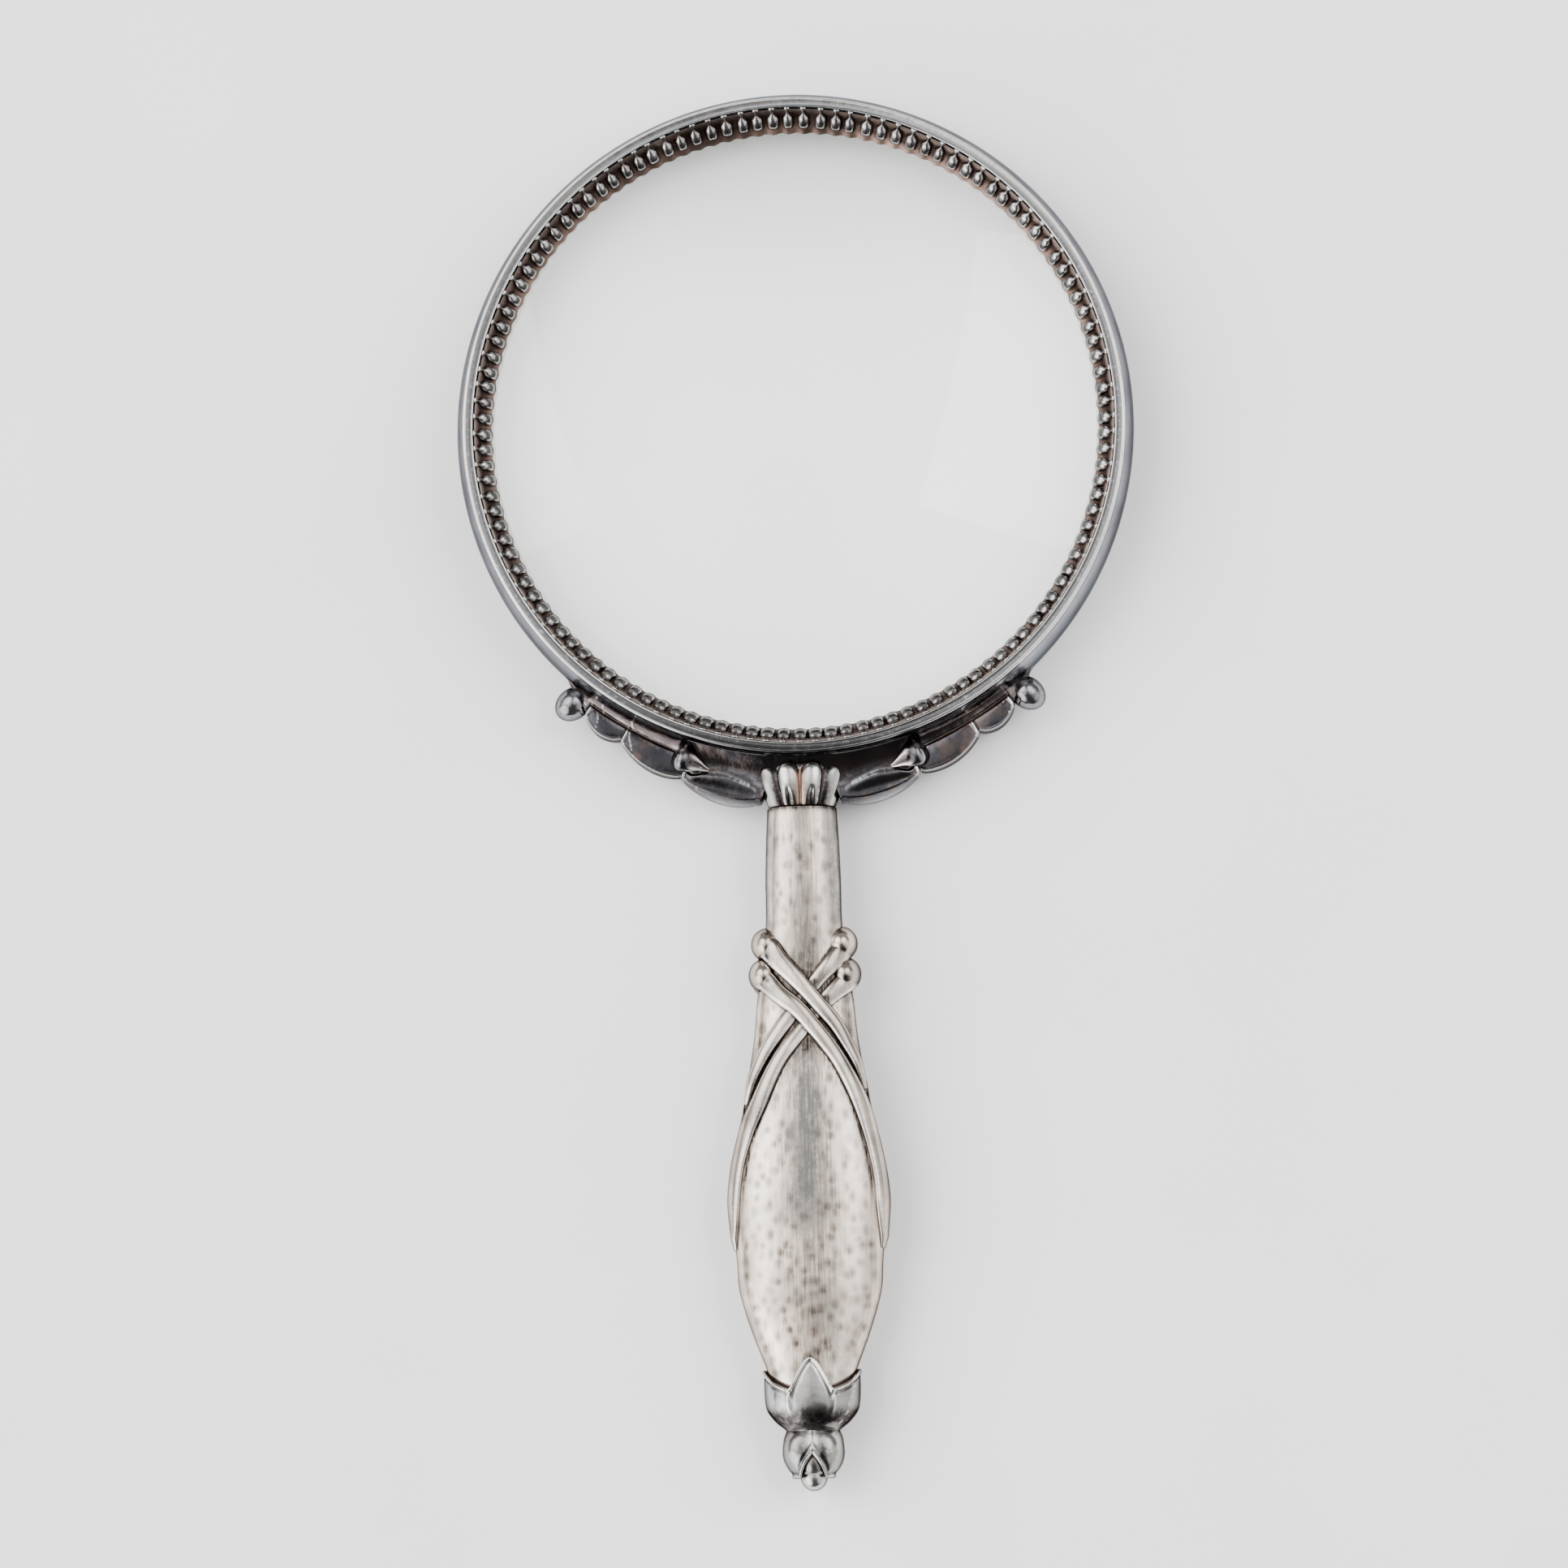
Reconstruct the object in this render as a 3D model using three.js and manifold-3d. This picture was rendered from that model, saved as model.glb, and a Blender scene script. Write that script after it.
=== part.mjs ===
// Magnifying glass with a pearled silver ring, leaf brackets and a strap-bound hammered handle.
// Millimetres, +Z up. It lies flat: +Y runs from the handle's tip to the ring, z = 0 is the table,
// and the origin is under the middle of the whole length.
import * as THREE from 'three';
import { mergeVertices } from 'three/addons/utils/BufferGeometryUtils.js';
import Module from 'manifold-3d';

const wasm = await Module();
wasm.setup();

// ---------- driving dimensions ----------
const OVERALL_LENGTH = 206;
const RING_OUTER_RADIUS = 50;
const RING_DEPTH = 11.5;
const RIM_RIDGE_RADIUS = 48.3;
const RIM_INNER_RADIUS = 47.25;
const LENS_RADIUS = 46;
const LENS_EDGE = 2;
const LENS_SAG = 3.6;
const BEAD_COUNT = 124;
const BEAD_INNER_RADIUS = 44.9;
const FIT_GAP = 0.3;
const SKIN_GAP = 0.22;

const HALF_DEPTH = RING_DEPTH / 2;
const HALF_LENGTH = OVERALL_LENGTH / 2;
const RING_CENTRE_Y = HALF_LENGTH - RING_OUTER_RADIUS;
const RING_SEGMENTS = 64;
const WALL_STEPS = 6;
const LENS_SEGMENTS = 48;
const DEGREE = Math.PI / 180;

// ---------- stations along the handle: [y, half width, half thickness] ----------
const HANDLE_STATIONS = [
  [-3.7, 5.1, 4.3],
  [-8, 5.35, 4.35],
  [-14, 5.55, 4.4],
  [-20, 5.6, 4.1],
  [-25, 6.0, 3.6],
  [-31, 7.0, 3.35],
  [-37, 7.6, 3.65],
  [-43, 8.6, 4.3],
  [-49, 9.7, 4.7],
  [-55, 10.8, 5.05],
  [-60.5, 11.4, 5.25],
  [-65, 11.1, 5.3],
  [-69.5, 10.7, 5.3],
  [-73.5, 10.45, 5.25],
  [-77, 9.6, 5.1],
  [-80.5, 8.45, 4.9],
  [-83.4, 7.35, 4.65],
  [-85.1, 6.55, 4.45],
  [-87, 5.9, 4.2],
  [-89.6, 5.0, 3.7],
];
const SHELL_WALL = 0.9;
const SEAM_GAP = 0.15;
const SECTION_POWER = 2.25;

// ---------- colours ----------
const OLD_SILVER = 0x8f8d8a;
const PALE_SILVER = 0xd9d3cb;
const DARK_SILVER = 0x4a4a4d;
const BRIGHT_SILVER = 0xc9c6c2;
const CLEAR_GLASS = 0xe6ece9;
const PITCH_BROWN = 0x3a2e26;
const CORK_BROWN = 0x8a6f55;

// ---------- helpers ----------
// Merges equal vertices and turns the faces outward.
function finish(geometry) {
  geometry.deleteAttribute('normal');
  geometry.deleteAttribute('uv');
  const merged = mergeVertices(geometry, 1e-4);
  const corners = merged.index.array;
  const points = merged.attributes.position;
  const [a, b, c] = [new THREE.Vector3(), new THREE.Vector3(), new THREE.Vector3()];
  let volume = 0;
  for (let i = 0; i < corners.length; i += 3) {
    a.fromBufferAttribute(points, corners[i]);
    b.fromBufferAttribute(points, corners[i + 1]);
    c.fromBufferAttribute(points, corners[i + 2]);
    volume += a.dot(b.cross(c));
  }
  if (volume < 0) corners.reverse();
  merged.computeVertexNormals();
  return merged;
}

function makeMesh(name, geometry, color, roughness, metalness) {
  const material = new THREE.MeshStandardMaterial({ color, roughness, metalness });
  const mesh = new THREE.Mesh(finish(geometry), material);
  mesh.name = name;
  return mesh;
}

function fromFaces(points, faces) {
  const geometry = new THREE.BufferGeometry();
  geometry.setFromPoints(points);
  geometry.setIndex(faces.flat());
  return geometry;
}

// Skins a row of closed sections that all have the same number of points, and caps both ends.
function loft(sections) {
  const count = sections[0].length;
  const points = sections.flat();
  const faces = [];
  for (let row = 0; row + 1 < sections.length; row += 1) {
    for (let i = 0; i < count; i += 1) {
      const a = row * count + i;
      const b = row * count + ((i + 1) % count);
      faces.push([a, b, b + count], [a, b + count, a + count]);
    }
  }
  for (const row of [0, sections.length - 1]) {
    const centre = new THREE.Vector3();
    sections[row].forEach((point) => centre.add(point));
    points.push(centre.divideScalar(count));
    const hub = points.length - 1;
    for (let i = 0; i < count; i += 1) {
      const a = row * count + i;
      const b = row * count + ((i + 1) % count);
      faces.push(row === 0 ? [hub, b, a] : [hub, a, b]);
    }
  }
  return fromFaces(points, faces);
}

// Closes two matching open grids into one plate with four side walls.
function plate(outer, inner) {
  const rows = outer.length;
  const columns = outer[0].length;
  const size = rows * columns;
  const points = [...outer.flat(), ...inner.flat()];
  const faces = [];
  const quad = (a, b, c, d) => faces.push([a, b, c], [a, c, d]);
  for (let r = 0; r + 1 < rows; r += 1) {
    for (let c = 0; c + 1 < columns; c += 1) {
      const a = r * columns + c;
      quad(a, a + 1, a + columns + 1, a + columns);
      quad(size + a, size + a + columns, size + a + columns + 1, size + a + 1);
    }
    const left = r * columns;
    const right = left + columns - 1;
    quad(left, left + columns, size + left + columns, size + left);
    quad(right, size + right, size + right + columns, right + columns);
  }
  for (let c = 0; c + 1 < columns; c += 1) {
    const last = (rows - 1) * columns + c;
    quad(c, size + c, size + c + 1, c + 1);
    quad(last, last + 1, size + last + 1, size + last);
  }
  return fromFaces(points, faces);
}

function interpolate(stations, y, column) {
  const ordered = stations[0][0] > stations[stations.length - 1][0] ? stations : [...stations].reverse();
  if (y >= ordered[0][0]) return ordered[0][column];
  for (let i = 0; i + 1 < ordered.length; i += 1) {
    const [high, low] = [ordered[i], ordered[i + 1]];
    if (y >= low[0]) {
      const share = (high[0] - y) / (high[0] - low[0]);
      return high[column] + (low[column] - high[column]) * share;
    }
  }
  return ordered[ordered.length - 1][column];
}

// A point of a squarish oval at height y; angle 0 is +X and 90 degrees is the front face, +Z.
function ovalPoint(y, halfWidth, halfThickness, angle, power = SECTION_POWER) {
  const c = Math.cos(angle);
  const s = Math.sin(angle);
  const x = Math.sign(c) * halfWidth * Math.abs(c) ** (2 / power);
  const z = Math.sign(s) * halfThickness * Math.abs(s) ** (2 / power);
  return new THREE.Vector3(x, y, z);
}

function ovalSection(y, halfWidth, halfThickness, count, power) {
  const section = [];
  for (let i = 0; i < count; i += 1) {
    section.push(ovalPoint(y, halfWidth, halfThickness, (i / count) * 2 * Math.PI, power));
  }
  return section;
}

function toManifold(geometry) {
  const merged = finish(geometry.clone());
  const vertProperties = new Float32Array(merged.attributes.position.array);
  const triVerts = new Uint32Array(merged.index.array);
  return new wasm.Manifold(new wasm.Mesh({ numProp: 3, vertProperties, triVerts }));
}

function subtract(geometry, ...cutters) {
  let body = toManifold(geometry);
  for (const cutter of cutters) body = body.subtract(toManifold(cutter));
  const mesh = body.getMesh();
  const result = new THREE.BufferGeometry();
  result.setAttribute('position', new THREE.BufferAttribute(mesh.vertProperties, 3));
  result.setIndex(new THREE.BufferAttribute(mesh.triVerts, 1));
  return result;
}

function lathe(profile, segments) {
  const points = profile.map(([radius, z]) => new THREE.Vector2(radius, z));
  const geometry = new THREE.LatheGeometry(points, segments);
  geometry.rotateX(Math.PI / 2);
  geometry.translate(0, RING_CENTRE_Y, 0);
  return geometry;
}

// Radius of the ring's bowed outer wall at height z from its middle.
function wallRadius(z) {
  const bow = RING_OUTER_RADIUS - RIM_RIDGE_RADIUS;
  return RING_OUTER_RADIUS - bow * (z / HALF_DEPTH) ** 2;
}

// A point beside the ring: angle is measured from the handle's side towards +X.
function besideRing(radius, angle, z) {
  return new THREE.Vector3(radius * Math.sin(angle), RING_CENTRE_Y - radius * Math.cos(angle), z);
}

// ---------- ring, galleries and lens ----------
function ringBand() {
  const profile = [];
  for (let i = 0; i <= WALL_STEPS; i += 1) {
    const z = -HALF_DEPTH + (RING_DEPTH * i) / WALL_STEPS;
    profile.push([wallRadius(z), z]);
  }
  profile.push([RIM_INNER_RADIUS, HALF_DEPTH]);
  profile.push([RIM_INNER_RADIUS, -HALF_DEPTH]);
  profile.push(profile[0]);
  return lathe(profile.reverse(), RING_SEGMENTS);
}

// A ring of pearls that slopes from the rim down to the lens. Two steps per pearl give its scallops.
function beadGallery(side) {
  const outerRadius = RIM_INNER_RADIUS - FIT_GAP;
  const rimInset = 0.15;
  const lensClearance = 0.42;
  const rimHeight = HALF_DEPTH - rimInset;
  const seatHeight = LENS_EDGE / 2 + lensClearance;
  const scallop = 0.55;
  const sections = [];
  const steps = BEAD_COUNT * 2;
  for (let i = 0; i < steps; i += 1) {
    const angle = (i / steps) * 2 * Math.PI;
    const dip = i % 2 === 0 ? 0 : scallop;
    const ring = [
      [outerRadius, rimHeight],
      [BEAD_INNER_RADIUS + dip, seatHeight],
      [outerRadius, seatHeight],
    ];
    sections.push(ring.map(([radius, z]) => besideRing(radius, angle, side * z)));
  }
  return closedLoft(sections);
}

// Skins sections that run round in a loop, so no caps are needed.
function closedLoft(sections) {
  const count = sections[0].length;
  const rows = sections.length;
  const faces = [];
  for (let row = 0; row < rows; row += 1) {
    for (let i = 0; i < count; i += 1) {
      const a = row * count + i;
      const b = row * count + ((i + 1) % count);
      const c = ((row + 1) % rows) * count + ((i + 1) % count);
      const d = ((row + 1) % rows) * count + i;
      faces.push([a, b, c], [a, c, d]);
    }
  }
  return fromFaces(sections.flat(), faces);
}

function lensBody() {
  const half = LENS_EDGE / 2;
  const steps = 5;
  const face = [];
  for (let i = 0; i <= steps; i += 1) {
    const radius = (LENS_RADIUS * i) / steps;
    face.push([radius, half + LENS_SAG * (1 - (radius / LENS_RADIUS) ** 2)]);
  }
  const under = face.map(([radius, z]) => [radius, -z]);
  return lathe([...under, ...face.reverse()], LENS_SEGMENTS);
}

function lensPacking() {
  const inner = LENS_RADIUS + FIT_GAP;
  const outer = RIM_INNER_RADIUS - FIT_GAP;
  const half = LENS_EDGE / 2;
  const profile = [[inner, -half], [outer, -half], [outer, half], [inner, half], [inner, -half]];
  return lathe(profile, LENS_SEGMENTS);
}

// ---------- leaf brackets beside the ring ----------
const LEAF_NOTCHES = [7, 19, 30, 37.2];
const LEAF_REACH = [56.7, 55.1, 54.0];
const NOTCH_RADIUS = [56.2, 54.5, 52.9, 52.2];
const GROOVE_RADIUS = [52.8, 50.9, 50.75];
const BRACKET_END = 43.5;
const BRACKET_TAIL = 50.95;
const LEAF_STEPS = 7;
const TAIL_ANGLES = [38.6, 41, BRACKET_END];
const TAIL_START = 38;
const TAIL_SHRINK = 0.55;
const BAND_HEIGHT = 4.1;
const BAND_HOLLOW = 3.1;
const TAIL_NARROWING = 2.4;

// Outer radius and fullness of the leaf edge at an angle in degrees.
function leafEdge(angle) {
  for (let leaf = 0; leaf < LEAF_REACH.length; leaf += 1) {
    const [from, to] = [LEAF_NOTCHES[leaf], LEAF_NOTCHES[leaf + 1]];
    if (angle <= to) {
      const share = Math.max(0, (angle - from) / (to - from));
      const chord = NOTCH_RADIUS[leaf] + (NOTCH_RADIUS[leaf + 1] - NOTCH_RADIUS[leaf]) * share;
      const middle = (NOTCH_RADIUS[leaf] + NOTCH_RADIUS[leaf + 1]) / 2;
      const bulge = Math.sin(Math.PI * share) ** 0.7;
      const reach = chord + (LEAF_REACH[leaf] - middle) * bulge;
      return { radius: reach, fullness: bulge, groove: GROOVE_RADIUS[leaf] };
    }
  }
  const share = (angle - LEAF_NOTCHES[3]) / (BRACKET_END - LEAF_NOTCHES[3]);
  const tail = NOTCH_RADIUS[3] + (BRACKET_TAIL - NOTCH_RADIUS[3]) * Math.min(1, share * TAIL_NARROWING);
  return { radius: tail, fullness: 0, groove: GROOVE_RADIUS[2] };
}

// Half heights across a bracket from the ring to the leaf's rim: [radius, height].
function leafProfile(angle) {
  const { radius, fullness, groove } = leafEdge(angle);
  const shrink = angle > TAIL_START ? TAIL_SHRINK : 1;
  const foot = BAND_HEIGHT * shrink;
  const band = wallRadius(foot) + FIT_GAP;
  const shoulder = radius - 0.15 * (radius - RING_OUTER_RADIUS);
  const crown = (2.1 + 1.5 * fullness) * shrink;
  return [
    [band, foot],
    [(band + groove) / 2, BAND_HOLLOW * shrink],
    [groove, (1.8 + 0.6 * fullness) * shrink],
    [groove + 0.3 * (radius - groove), crown],
    [shoulder, 0.72 * crown],
    [radius, (0.35 + 0.5 * fullness) * shrink],
  ];
}

function leafBracket(side) {
  const angles = [];
  for (let leaf = 0; leaf < LEAF_REACH.length; leaf += 1) {
    const [from, to] = [LEAF_NOTCHES[leaf], LEAF_NOTCHES[leaf + 1]];
    for (let step = 0; step < LEAF_STEPS; step += 1) {
      angles.push(from + ((to - from) * step) / LEAF_STEPS);
    }
  }
  angles.push(LEAF_NOTCHES[3], ...TAIL_ANGLES);
  const sections = angles.map((angle) => {
    const upper = leafProfile(angle);
    const lower = [...upper].reverse().map(([r, z]) => [r, -z]);
    const inner = [[RING_OUTER_RADIUS + FIT_GAP, 0]];
    return [...upper, ...lower, ...inner].map(([r, z]) => besideRing(r, side * angle * DEGREE, z));
  });
  const buds = [scrollBud(side, 1, FIT_GAP), scrollBud(side, -1, FIT_GAP)];
  return subtract(loft(sections), collarOutside(FIT_GAP), berry(side, FIT_GAP), ...buds);
}

const BERRY_RADIUS = 2.55;
const BERRY_SEAT = 52.2;
const BERRY_ANGLE = 39.9;

function berry(side, grow = 0) {
  const geometry = new THREE.SphereGeometry(BERRY_RADIUS + grow, 12, 8);
  geometry.scale(0.98, 1.07, 1.15);
  const place = besideRing(BERRY_SEAT, side * BERRY_ANGLE * DEGREE, 0);
  geometry.translate(place.x, place.y, place.z);
  return subtract(geometry, ringBandSolid(FIT_GAP));
}

const BUD_ANGLE = 18.6;
const BUD_SEAT = 52.1;
const BUD_FLOOR = 2.75;
const BUD_SQUASH = 0.75;
const BUD_SIDES = 8;

// A plump bud with a claw that points along the ring to the handle, laid on the notch of the leaves.
function scrollBud(side, face, grow = 0) {
  const stations = [[-2.3, 0.3], [-1.9, 1.1], [-0.8, 1.75], [0.5, 1.6], [1.9, 0.85], [3.6, 0.18]];
  const sections = stations.map(([along, slimGirth]) => {
    const girth = slimGirth + grow;
    const section = [];
    for (let i = 0; i < BUD_SIDES; i += 1) {
      const turn = (i / BUD_SIDES) * 2 * Math.PI;
      const radius = BUD_SEAT + girth * Math.cos(turn);
      const angle = side * (BUD_ANGLE * DEGREE - along / BUD_SEAT);
      const height = BUD_FLOOR + BUD_SQUASH * (slimGirth + girth * Math.sin(turn));
      section.push(besideRing(radius, angle, face * height));
    }
    return section;
  });
  return loft(sections);
}

// ---------- fluted collar between ring and handle ----------
const COLLAR_STATIONS = [
  [5.4, 6.9, 4.5],
  [2.6, 6.8, 4.9],
  [0, 6.4, 5.1],
  [-2, 5.6, 4.7],
  [-3.4, 4.9, 4.1],
];
const TANG_RADIUS = 2.1;
const TANG_TAPER = 0.7;
const TANG_LENGTH = 44;
const TANG_CENTRE_Y = -20;
const COLLAR_GROOVES = [0, 56.6, 90, 123.4, 180].map((value) => value * DEGREE);
const COLLAR_LOBES = 4;
const GROOVE_FLOOR = 0.9;

function tangBody(grow) {
  const tipRadius = TANG_RADIUS * TANG_TAPER + grow;
  const geometry = new THREE.CylinderGeometry(TANG_RADIUS + grow, tipRadius, TANG_LENGTH, 12);
  geometry.translate(0, TANG_CENTRE_Y, 0);
  return geometry;
}

// The collar's fluted outside. A positive grow gives the room that its neighbours leave around it.
function collarOutside(grow) {
  const perLobe = 5;
  const angles = [];
  for (let half = 0; half < 2; half += 1) {
    for (let lobe = 0; lobe < COLLAR_LOBES; lobe += 1) {
      for (let step = 0; step < perLobe; step += 1) {
        const share = step / perLobe;
        const [from, to] = [COLLAR_GROOVES[lobe], COLLAR_GROOVES[lobe + 1]];
        const swell = GROOVE_FLOOR + (1 - GROOVE_FLOOR) * Math.sin(Math.PI * share) ** 0.6;
        angles.push([from + (to - from) * share + half * Math.PI, swell]);
      }
    }
  }
  return loft(COLLAR_STATIONS.map(([y, halfWidth, halfThickness]) => angles.map(
    ([angle, swell]) => ovalPoint(y, halfWidth * swell + grow, halfThickness * swell + grow, angle, 2.2),
  )));
}

function flutedCollar() {
  return subtract(collarOutside(0), ringBandSolid(FIT_GAP), tangBody(FIT_GAP));
}

// The ring's outer shape without its hole, used to cut the collar's saddle.
function ringBandSolid(grow) {
  const profile = [[0, -HALF_DEPTH - grow]];
  for (let i = 0; i <= WALL_STEPS; i += 1) {
    const z = -HALF_DEPTH + (RING_DEPTH * i) / WALL_STEPS;
    profile.push([wallRadius(z) + grow, z]);
  }
  profile.push([0, HALF_DEPTH + grow]);
  return lathe(profile, RING_SEGMENTS);
}

// ---------- handle ----------
function handleSurface(y, angle, lift = 0) {
  const halfWidth = interpolate(HANDLE_STATIONS, y, 1) + lift;
  const halfThickness = interpolate(HANDLE_STATIONS, y, 2) + lift;
  return ovalPoint(y, halfWidth, halfThickness, angle);
}

function handleShell(face) {
  const steps = 10;
  const grid = (inset) => HANDLE_STATIONS.map(([y]) => {
    const row = [];
    for (let i = 0; i <= steps; i += 1) {
      const point = handleSurface(y, (i / steps) * Math.PI, -inset);
      point.z = face * (Math.max(0, point.z) + SEAM_GAP);
      row.push(point);
    }
    return row;
  });
  return plate(grid(0), grid(SHELL_WALL));
}

function handleFiller() {
  const inset = SHELL_WALL + FIT_GAP;
  const sections = HANDLE_STATIONS.slice(1, -1).map(
    ([y, halfWidth, halfThickness]) => ovalSection(y, halfWidth - inset, halfThickness - inset, 16),
  );
  return subtract(loft(sections), tangBody(FIT_GAP));
}

function handleEnvelope(grow) {
  const sides = 24;
  return loft(HANDLE_STATIONS.map(([y, halfWidth, halfThickness]) => {
    const thickness = halfThickness + grow + SEAM_GAP;
    return ovalSection(y, halfWidth + grow, thickness, sides);
  }));
}

// ---------- straps that bind the handle ----------
const KNOT_RADII = [2.35, 2.1, 3.7];
const UPPER_KNOT = [5.5, -23.4];
const LOWER_KNOT = [5.95, -27.9];
const STRAP_HEIGHT = 0.95;
const STRAP_GAP = 0.38;
const CROSSING_LIFT = 0.66;
const CROSSING_THINNING = 0.68;

// Strap routes over the front face: [x, y, width].
const UPPER_OVER = [
  [-4.85, -24.05, 3.1], [-3.45, -25.85, 2.4], [-0.95, -28.75, 2.3], [0.95, -31.1, 2.3], [2.75, -33.3, 2.25],
  [4.5, -35.6, 2.1], [6.1, -38.6, 1.8], [7.3, -41.3, 1.5], [8.4, -44.8, 0.7],
];
const LOWER_OVER = [
  [-5.2, -28.95, 3], [-3.5, -30.85, 2.35], [-1, -33.1, 2.4], [1.1, -35.5, 2.4], [3.2, -38.2, 2.3],
  [4.8, -40.6, 2.2], [6.6, -44.1, 2.3], [8.1, -47.6, 2.6], [9.4, -51.6, 2.8], [10.3, -55.3, 3],
  [10.8, -58.8, 3], [10.95, -61.6, 3], [10.85, -64.8, 2.3], [10.65, -68, 0.8],
];
const UPPER_UNDER = [
  [5.5, -24.6, 2.9], [3.6, -26.9, 2.2], [1.5, -29.4, 2.1], [-0.4, -31.9, 2], [-2.2, -34.3, 2],
  [-3.9, -36.5, 2.1], [-5.4, -38.8, 2], [-6.65, -41.2, 1.8], [-7.75, -44, 1.4], [-8.7, -46.8, 0.7],
];
const LOWER_UNDER = [
  [6, -29.35, 2.9], [4.1, -31.05, 2.2], [2.2, -32.9, 2.1], [-0.3, -36.1, 2], [-2.1, -38.2, 2.1],
  [-3.7, -40.4, 2.1], [-5.2, -43.2, 2.2], [-6.8, -46.7, 2.4], [-8.6, -50.4, 2.7], [-9.9, -54.2, 2.9],
  [-10.6, -57.5, 3], [-10.95, -60.8, 3], [-10.85, -64.4, 2.3], [-10.65, -68, 0.8],
];
const CROSSING_CENTRE = [0.4, -33];
const CROSSING_REACH = 5.2;

// Drops a point onto the handle's oval at its own y, and gives the outward normal there.
function onHandle(position) {
  const halfWidth = interpolate(HANDLE_STATIONS, position.y, 1);
  const halfThickness = interpolate(HANDLE_STATIONS, position.y, 2);
  const shareX = (Math.abs(position.x) / halfWidth) ** (SECTION_POWER / 2);
  const shareZ = (Math.max(0, position.z) / halfThickness) ** (SECTION_POWER / 2);
  const scale = Math.hypot(shareX, shareZ) ** (2 / SECTION_POWER);
  const x = position.x / scale;
  const z = Math.max(0, position.z) / scale;
  const slopeX = (Math.sign(x) * (Math.abs(x) / halfWidth) ** (SECTION_POWER - 1)) / halfWidth;
  const slopeZ = (z / halfThickness) ** (SECTION_POWER - 1) / halfThickness;
  const normal = new THREE.Vector3(slopeX, 0, slopeZ).normalize();
  return { point: new THREE.Vector3(x, position.y, z), normal };
}

// The point of the handle's front face straight under (x, y).
function underPoint(x, y) {
  const halfWidth = interpolate(HANDLE_STATIONS, y, 1);
  const halfThickness = interpolate(HANDLE_STATIONS, y, 2);
  const share = Math.min(0.999, Math.abs(x) / halfWidth);
  return new THREE.Vector3(x, y, halfThickness * (1 - share ** SECTION_POWER) ** (1 / SECTION_POWER));
}

// 1 at the crossing of the straps, falling to 0 around it.
function crossingShare(x, y) {
  const distance = Math.hypot(x - CROSSING_CENTRE[0], y - CROSSING_CENTRE[1]);
  return THREE.MathUtils.smoothstep(CROSSING_REACH - distance, -0.6, 1.4);
}

// Walks over the handle's skin from a point, square to the strap, for a signed distance.
function walkAcross(start, along, distance) {
  const legs = 3;
  let place = onHandle(start);
  for (let leg = 0; leg < legs; leg += 1) {
    const across = new THREE.Vector3().crossVectors(place.normal, along).normalize();
    place = onHandle(place.point.clone().addScaledVector(across, distance / legs));
  }
  return place;
}

function strap(route, face, over) {
  const curve = new THREE.CatmullRomCurve3(route.map(([x, y, width]) => new THREE.Vector3(x, y, width)));
  const steps = Math.round(route.length * 1.6);
  const sections = [];
  for (let i = 0; i <= steps; i += 1) {
    const at = curve.getPoint(i / steps);
    const ahead = curve.getTangent(i / steps);
    const middle = underPoint(at.x, at.y);
    const along = new THREE.Vector3(ahead.x, ahead.y, 0);
    const { normal } = onHandle(middle);
    along.addScaledVector(normal, -along.dot(normal)).normalize();
    const share = crossingShare(at.x, at.y);
    const low = STRAP_GAP + (over ? CROSSING_LIFT * share : 0);
    const taper = Math.min(1, at.z / 1.6);
    const high = low + (over ? STRAP_HEIGHT : STRAP_HEIGHT - CROSSING_THINNING * share) * taper;
    const shoulder = 0.25 * low + 0.75 * high;
    const half = at.z / 2;
    const outline = [[-half, low], [half, low], [0.8 * half, shoulder]];
    outline.push([0.35 * half, high], [-0.35 * half, high], [-0.8 * half, shoulder]);
    sections.push(outline.map(([offset, height]) => {
      const place = walkAcross(middle, along, offset);
      const point = place.point.addScaledVector(place.normal, height);
      return new THREE.Vector3(face * point.x, point.y, face * (point.z + SEAM_GAP));
    }));
  }
  const side = Math.sign(route[0][0]) * face;
  const knots = [UPPER_KNOT, LOWER_KNOT].map((knot) => knotBody(knot, side, FIT_GAP));
  return subtract(loft(sections), ...knots);
}

// The rounded end of a pair of straps, which reaches round the handle's side from face to face.
function knotBody([x, y], side, grow) {
  const geometry = new THREE.SphereGeometry(1, 14, 12);
  geometry.scale(...KNOT_RADII.map((radius) => radius + grow));
  geometry.translate(side * x, y, 0);
  return geometry;
}

function strapKnot(knot, side) {
  return subtract(knotBody(knot, side, 0), handleEnvelope(SKIN_GAP));
}

// ---------- tulip cup and finial ----------
const CUP_STATIONS = [
  [-83.6, 7.5, 5.55],
  [-85.6, 7.05, 5.5],
  [-88, 7.05, 5.5],
  [-90, 6.95, 5.4],
  [-91.5, 6.6, 5.1],
  [-93, 5.45, 4.4],
  [-94.1, 4.1, 3.5],
];
const BUD_STATIONS = [
  [-94.4, 4.0, 3.4],
  [-95.6, 4.5, 3.9],
  [-97.2, 4.7, 4.1],
  [-98.6, 4.4, 3.9],
  [-99.8, 3.75, 3.4],
  [-101.1, 2.9, 2.75],
];
const PETAL_WALL = 0.55;
const FRONT_PETAL_TIP = -83.7;
const SIDE_PETAL_TIP = -85.5;
const FRONT_PETAL_DEPTH = 4.7;
const SIDE_PETAL_DEPTH = 2.8;
const CUP_SHELF = -90.4;
const OVAL_POWER = 2.1;

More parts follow.
